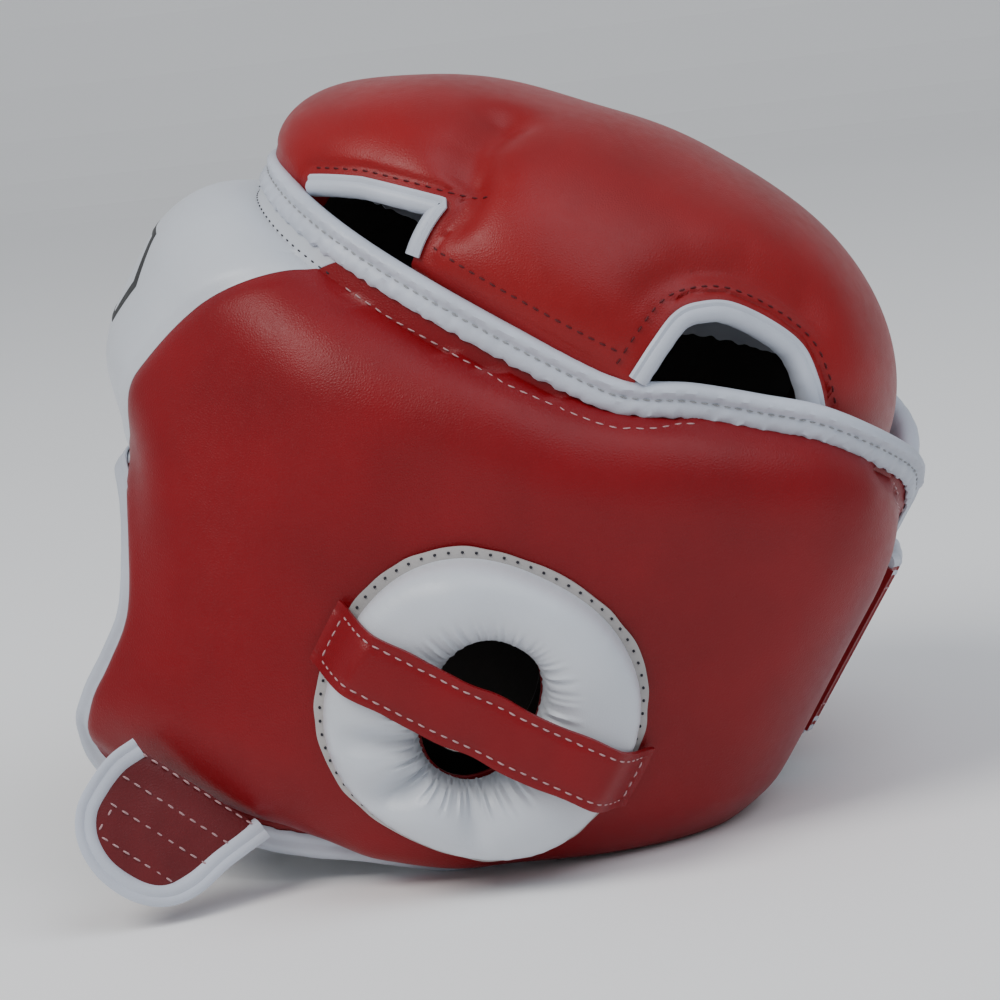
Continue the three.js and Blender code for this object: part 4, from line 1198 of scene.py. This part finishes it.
def rear_strap():
    """Sewn on the left wing near its edge, closing over the right wing."""
    steps = 90
    xs = np.linspace(24.0, -42.0, steps)
    zs = REAR_STRAP_Z + np.linspace(-REAR_STRAP_HALF, REAR_STRAP_HALF, 31)
    heights = np.zeros((len(zs), steps))
    nape = np.linspace(140, 180, 200)
    across = -band(nape, 0.0, REAR_STRAP_LIFT)[:, 0]
    for j, x in enumerate(xs):
        angle = float(np.interp(-abs(x), across, nape))
        for i, z in enumerate(zs):
            under = float(pad(np.array([angle]), np.array([z]))[0]) if abs(x) > WING_GAP else 6.5
            heights[i, j] = max(under + 1.6, 6.8)
    angles = np.interp(-np.abs(xs), across, nape) * np.where(xs >= 0, 1, -1)
    smoothed = np.array([np.convolve(np.pad(row, 9, mode="edge"), np.ones(19) / 19, "valid")
                         for row in heights]).max(0)
    lift = np.maximum(smoothed, heights.max(0))
    base = np.array([[band(a, z, h) for a, h in zip(angles, lift)] for z in zs])
    normal = np.array([[band_normal(a, z) for a in angles] for z in zs])
    crinkle = 0.25 * waves(np.linspace(0, 66, steps), 77, 9, 25)[None, :, None] * normal
    shape = sheet_mesh(base + crinkle, base + normal * 2.4 + crinkle)
    piece = make("rear_closure_strap", *shape, RED, "rear_strap")
    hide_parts("rear_strap")
    patch = (slice(5, 26), slice(58, 84))
    under = (base + crinkle)[patch]
    shape = sheet_mesh(under - normal[patch] * 1.0, under - normal[patch] * 0.05)
    piece = make("rear_hook_tape", *shape, HOOK, "rear_strap")
    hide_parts("rear_strap_hook_patch")
    top = base + normal * 2.5 + crinkle
    edge = np.concatenate([top[0, 3:], top[1:, -1], top[-1, 3:-1][::-1]])
    up = np.concatenate([normal[0, 3:], normal[1:, -1], normal[-1, 3:-1][::-1]])
    middle = edge - up * 2.5
    shape = fold(middle - up * 0.3, up, STRAP_SIDE, TAB_FOLD, 83, 0.16)
    piece = make("rear_strap_fold", *shape, PIPING, "rear_strap")
    inner = np.concatenate([top[4, 3:-4], top[4:-4, -5], top[-5, 3:-4][::-1]])
    above = np.concatenate([normal[4, 3:-4], normal[4:-4, -5], normal[-5, 3:-4][::-1]])
    stitches("rear_strap_stitches", inner, above, PINK_THREAD, "rear_strap", length=2.3, space=1.4,
             radius=0.3)


rear_strap()


STRAP_SETBACK, STRAP_DROP = 2.25, 15


def strap_frame():
    """The chin strap's middle, its downward and sideways ways, and the lining's half width."""
    start, end = cheek_seam()
    across = unit(end - start)
    down = unit([0, -abs(across[2]), -across[1]])
    sideways = unit([0, across[1], across[2]])
    angle = float(np.interp(-30 - 19, band(ANGLES, -59, 0)[:, 1], ANGLES))
    reach = band(angle, -59.0, 0.0)[0] - STRAP_SETBACK
    return (start + end) / 2, down, sideways, reach


def strap_sheet(route, thickness, lift, half, count=110):
    """A strip along [across, drop] points, its grid, and its normals."""
    centre, down, sideways, _ = strap_frame()
    path = spline(np.array(route, float), count)
    way = unit(np.gradient(path, axis=0))
    out = np.stack([way[:, 1], -way[:, 0]], -1)
    middle = np.stack([path[:, 0], 0 * path[:, 0] + centre[1], 0 * path[:, 0] + centre[2]], -1)
    middle = middle + down * path[:, 1:]
    up = np.stack([out[:, 0], 0 * out[:, 0], 0 * out[:, 0]], -1) + down * out[:, 1:]
    rows = np.linspace(-1, 1, 23)
    crinkle = 0.22 * waves(np.linspace(0, 110, count), 91, 8, 22)[None, :, None] * up[None]
    low = middle[None] + sideways * (rows[:, None, None] * half) + up[None] * lift + crinkle
    bow = 0.35 * (1 - rows ** 4)[:, None, None]
    high = low + up[None] * (thickness + bow)
    return low, high, np.repeat(up[None], len(rows), 0)


def chin_strap():
    """The strap under the chin, its loop tape, and the root sewn to the right cheek's lining."""
    _, _, _, x = strap_frame()
    bend = [[-x + 5, 9.3], [-x + 14, STRAP_DROP]]
    cross = [[-x / 2, STRAP_DROP], [0, STRAP_DROP], [31.2, STRAP_DROP], [52, STRAP_DROP]]
    low, high, up = strap_sheet(bend + cross, 2.6, 0.0, 18.0)
    piece = make("chin_strap_leather", *sheet_mesh(low, high), RED, "chin_strap")
    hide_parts("chin_strap")
    free = slice(16, None)      # the binding starts past the root
    edge = np.concatenate([low[0, free], low[1:, -1], low[-1, free][:-1][::-1]])
    above = np.concatenate([up[0, free], up[1:, -1], up[-1, free][:-1][::-1]])
    shape = fold(edge + above * 1.2, above, CHIN_SIDE, TAB_FOLD, 95, 0.16)
    piece = make("chin_strap_fold", *shape, PIPING, "chin_strap")
    for name, grid in (("upper", high + up * 0.1), ("lower", low - up * 0.15)):
        line = np.concatenate([grid[4], grid[5:-4, -5], grid[-5, :-4][::-1]])
        normals = np.concatenate([up[4], up[5:-4, -5], up[-5, :-4][::-1]])
        normals = normals if name == "upper" else -normals
        stitches(f"chin_strap_stitches_{name}", line, normals, PINK_THREAD, "chin_strap", length=2.3,
                 space=1.4, radius=0.28)
    low, high, _ = strap_sheet(cross[1:], 1.1, -1.4, 13.0, 60)
    piece = make("chin_loop_tape", *sheet_mesh(low, high - 0.35 * (high - low)), LOOP, "chin_strap")
    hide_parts("chin_strap_loop_patch")
    low, high, _ = strap_sheet([[-x, -10], [-x, -4], [-x, 0], [-x + 1.4, 4.5]], 2.4, 0.0, 18.5, 40)
    piece = make("chin_strap_root", *sheet_mesh(low, high), RED, "headgear")
    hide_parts("chin_strap_anchor")


def chin_hook_tape():
    """The hook tape on the inside of the chin tab."""
    place, _ = tab_place()
    share = np.array([TAB_MIDDLE, 0.52]) + (TAB_OUTLINE[1:-1] - [TAB_MIDDLE, 0.52]) * [0.62, 0.55]
    outline = spline(np.vstack([share, share[:1]]) * [TAB_WIDTH, TAB_LENGTH], 160)[:-1]
    centre = outline.mean(0)
    shares = np.linspace(0.02, 1, 12)
    fill = centre + (outline[:, None] - centre) * shares[None, :, None]
    low = place(fill[..., 0], fill[..., 1], -1.4 + 0.3 * shares[None, :] ** 6)
    high = place(fill[..., 0], fill[..., 1], -0.35 + 0 * shares[None, :])
    loops = np.concatenate([low, high[:, ::-1]], 1)
    piece = make("chin_hook_tape", *loft_mesh(loops, True), HOOK, "chin_tab")
    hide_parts("chin_tab_hook_patch")


chin_strap()
chin_hook_tape()


# ---- floor, light and camera -----------------------------------------------------------------------
def studio():
    """A pale floor that curves up into a wall, and an even world light."""
    floor = bpy.data.meshes.new("floor")
    reach, back, wall, steps = 6.0, -2.5, 5.0, 12
    profile = [(reach, 0.0), (back, 0.0)]
    for k in range(1, steps + 1):
        turn = math.pi / 2 * k / steps
        profile.append((back - math.sin(turn), 1 - math.cos(turn)))
    profile.append((back - 1.0, wall))
    points = [(x, y, z) for y in (-reach, reach) for x, z in profile]
    count = len(profile)
    floor.from_pydata(points, [], [(k, k + 1, count + k + 1, count + k) for k in range(count - 1)])
    floor.flip_normals()
    material, nodes, links, shader, place = node_tree("pale_floor", 0.8, 0.2)
    mottle = noise(nodes, links, place, 3)
    stops = [(0.0, rgba((0.93, 0.93, 0.93))), (1.0, rgba((0.96, 0.96, 0.96)))]
    links.new(ramp(nodes, links, mottle, stops), shader.inputs["Base Color"])
    floor.materials.append(material)
    backdrop = bpy.data.objects.new("floor", floor)
    bpy.context.collection.objects.link(backdrop)
    world = bpy.data.worlds.new("studio")
    world.use_nodes = True
    world.node_tree.nodes["Background"].inputs["Color"].default_value = (0.9, 0.94, 1.0, 1)
    world.node_tree.nodes["Background"].inputs["Strength"].default_value = 0.46
    bpy.context.scene.world = world


def aim(obj, place, target, up):
    """Turns a lamp or camera at place to look at target."""
    forward = unit(np.asarray(target) - np.asarray(place))
    right = unit(np.cross(forward, up))
    above = np.cross(right, forward)
    matrix = Matrix([[right[k], above[k], -forward[k], place[k]] for k in range(3)] + [[0, 0, 0, 1]])
    obj.matrix_world = matrix


CAMERA_LIFT, CAMERA_ROLL = math.radians(12), math.radians(27)
CAMERA_AWAY, FRAME_WIDTH = 1000.0, 310.0
TARGET = np.array([0.0, 4.65, 33.65])


def camera():
    data = bpy.data.cameras.new("camera")
    eye = bpy.data.objects.new("camera", data)
    bpy.context.collection.objects.link(eye)
    toward = np.array([math.cos(CAMERA_LIFT), 0, math.sin(CAMERA_LIFT)])
    upright = np.array([-math.sin(CAMERA_LIFT), 0, math.cos(CAMERA_LIFT)])
    up = math.cos(CAMERA_ROLL) * upright - math.sin(CAMERA_ROLL) * np.array([0, 1, 0])
    place = to_row(TARGET + toward * CAMERA_AWAY)
    aim(eye, place, to_row(TARGET), direction_to_row(up))
    data.sensor_width = 36.0
    data.lens = 36.0 * CAMERA_AWAY / FRAME_WIDTH
    data.clip_end = 50
    bpy.context.scene.camera = eye


def area(name, place, target, size, power_watts, color):
    data = bpy.data.lights.new(name, "AREA")
    data.shape, data.size, data.energy, data.color = "DISK", size, power_watts, color
    lamp = bpy.data.objects.new(name, data)
    bpy.context.collection.objects.link(lamp)
    aim(lamp, place, target, (0.1, 0.2, 1.0))


studio()
camera()
area("key", (1.2, -1.1, 1.9), (0, 0, 0.1), 1.4, 36, (1.0, 0.97, 0.93))
area("sky", (0.6, 0.9, 1.8), (0, 0, 0.1), 1.8, 16, (0.86, 0.92, 1.0))
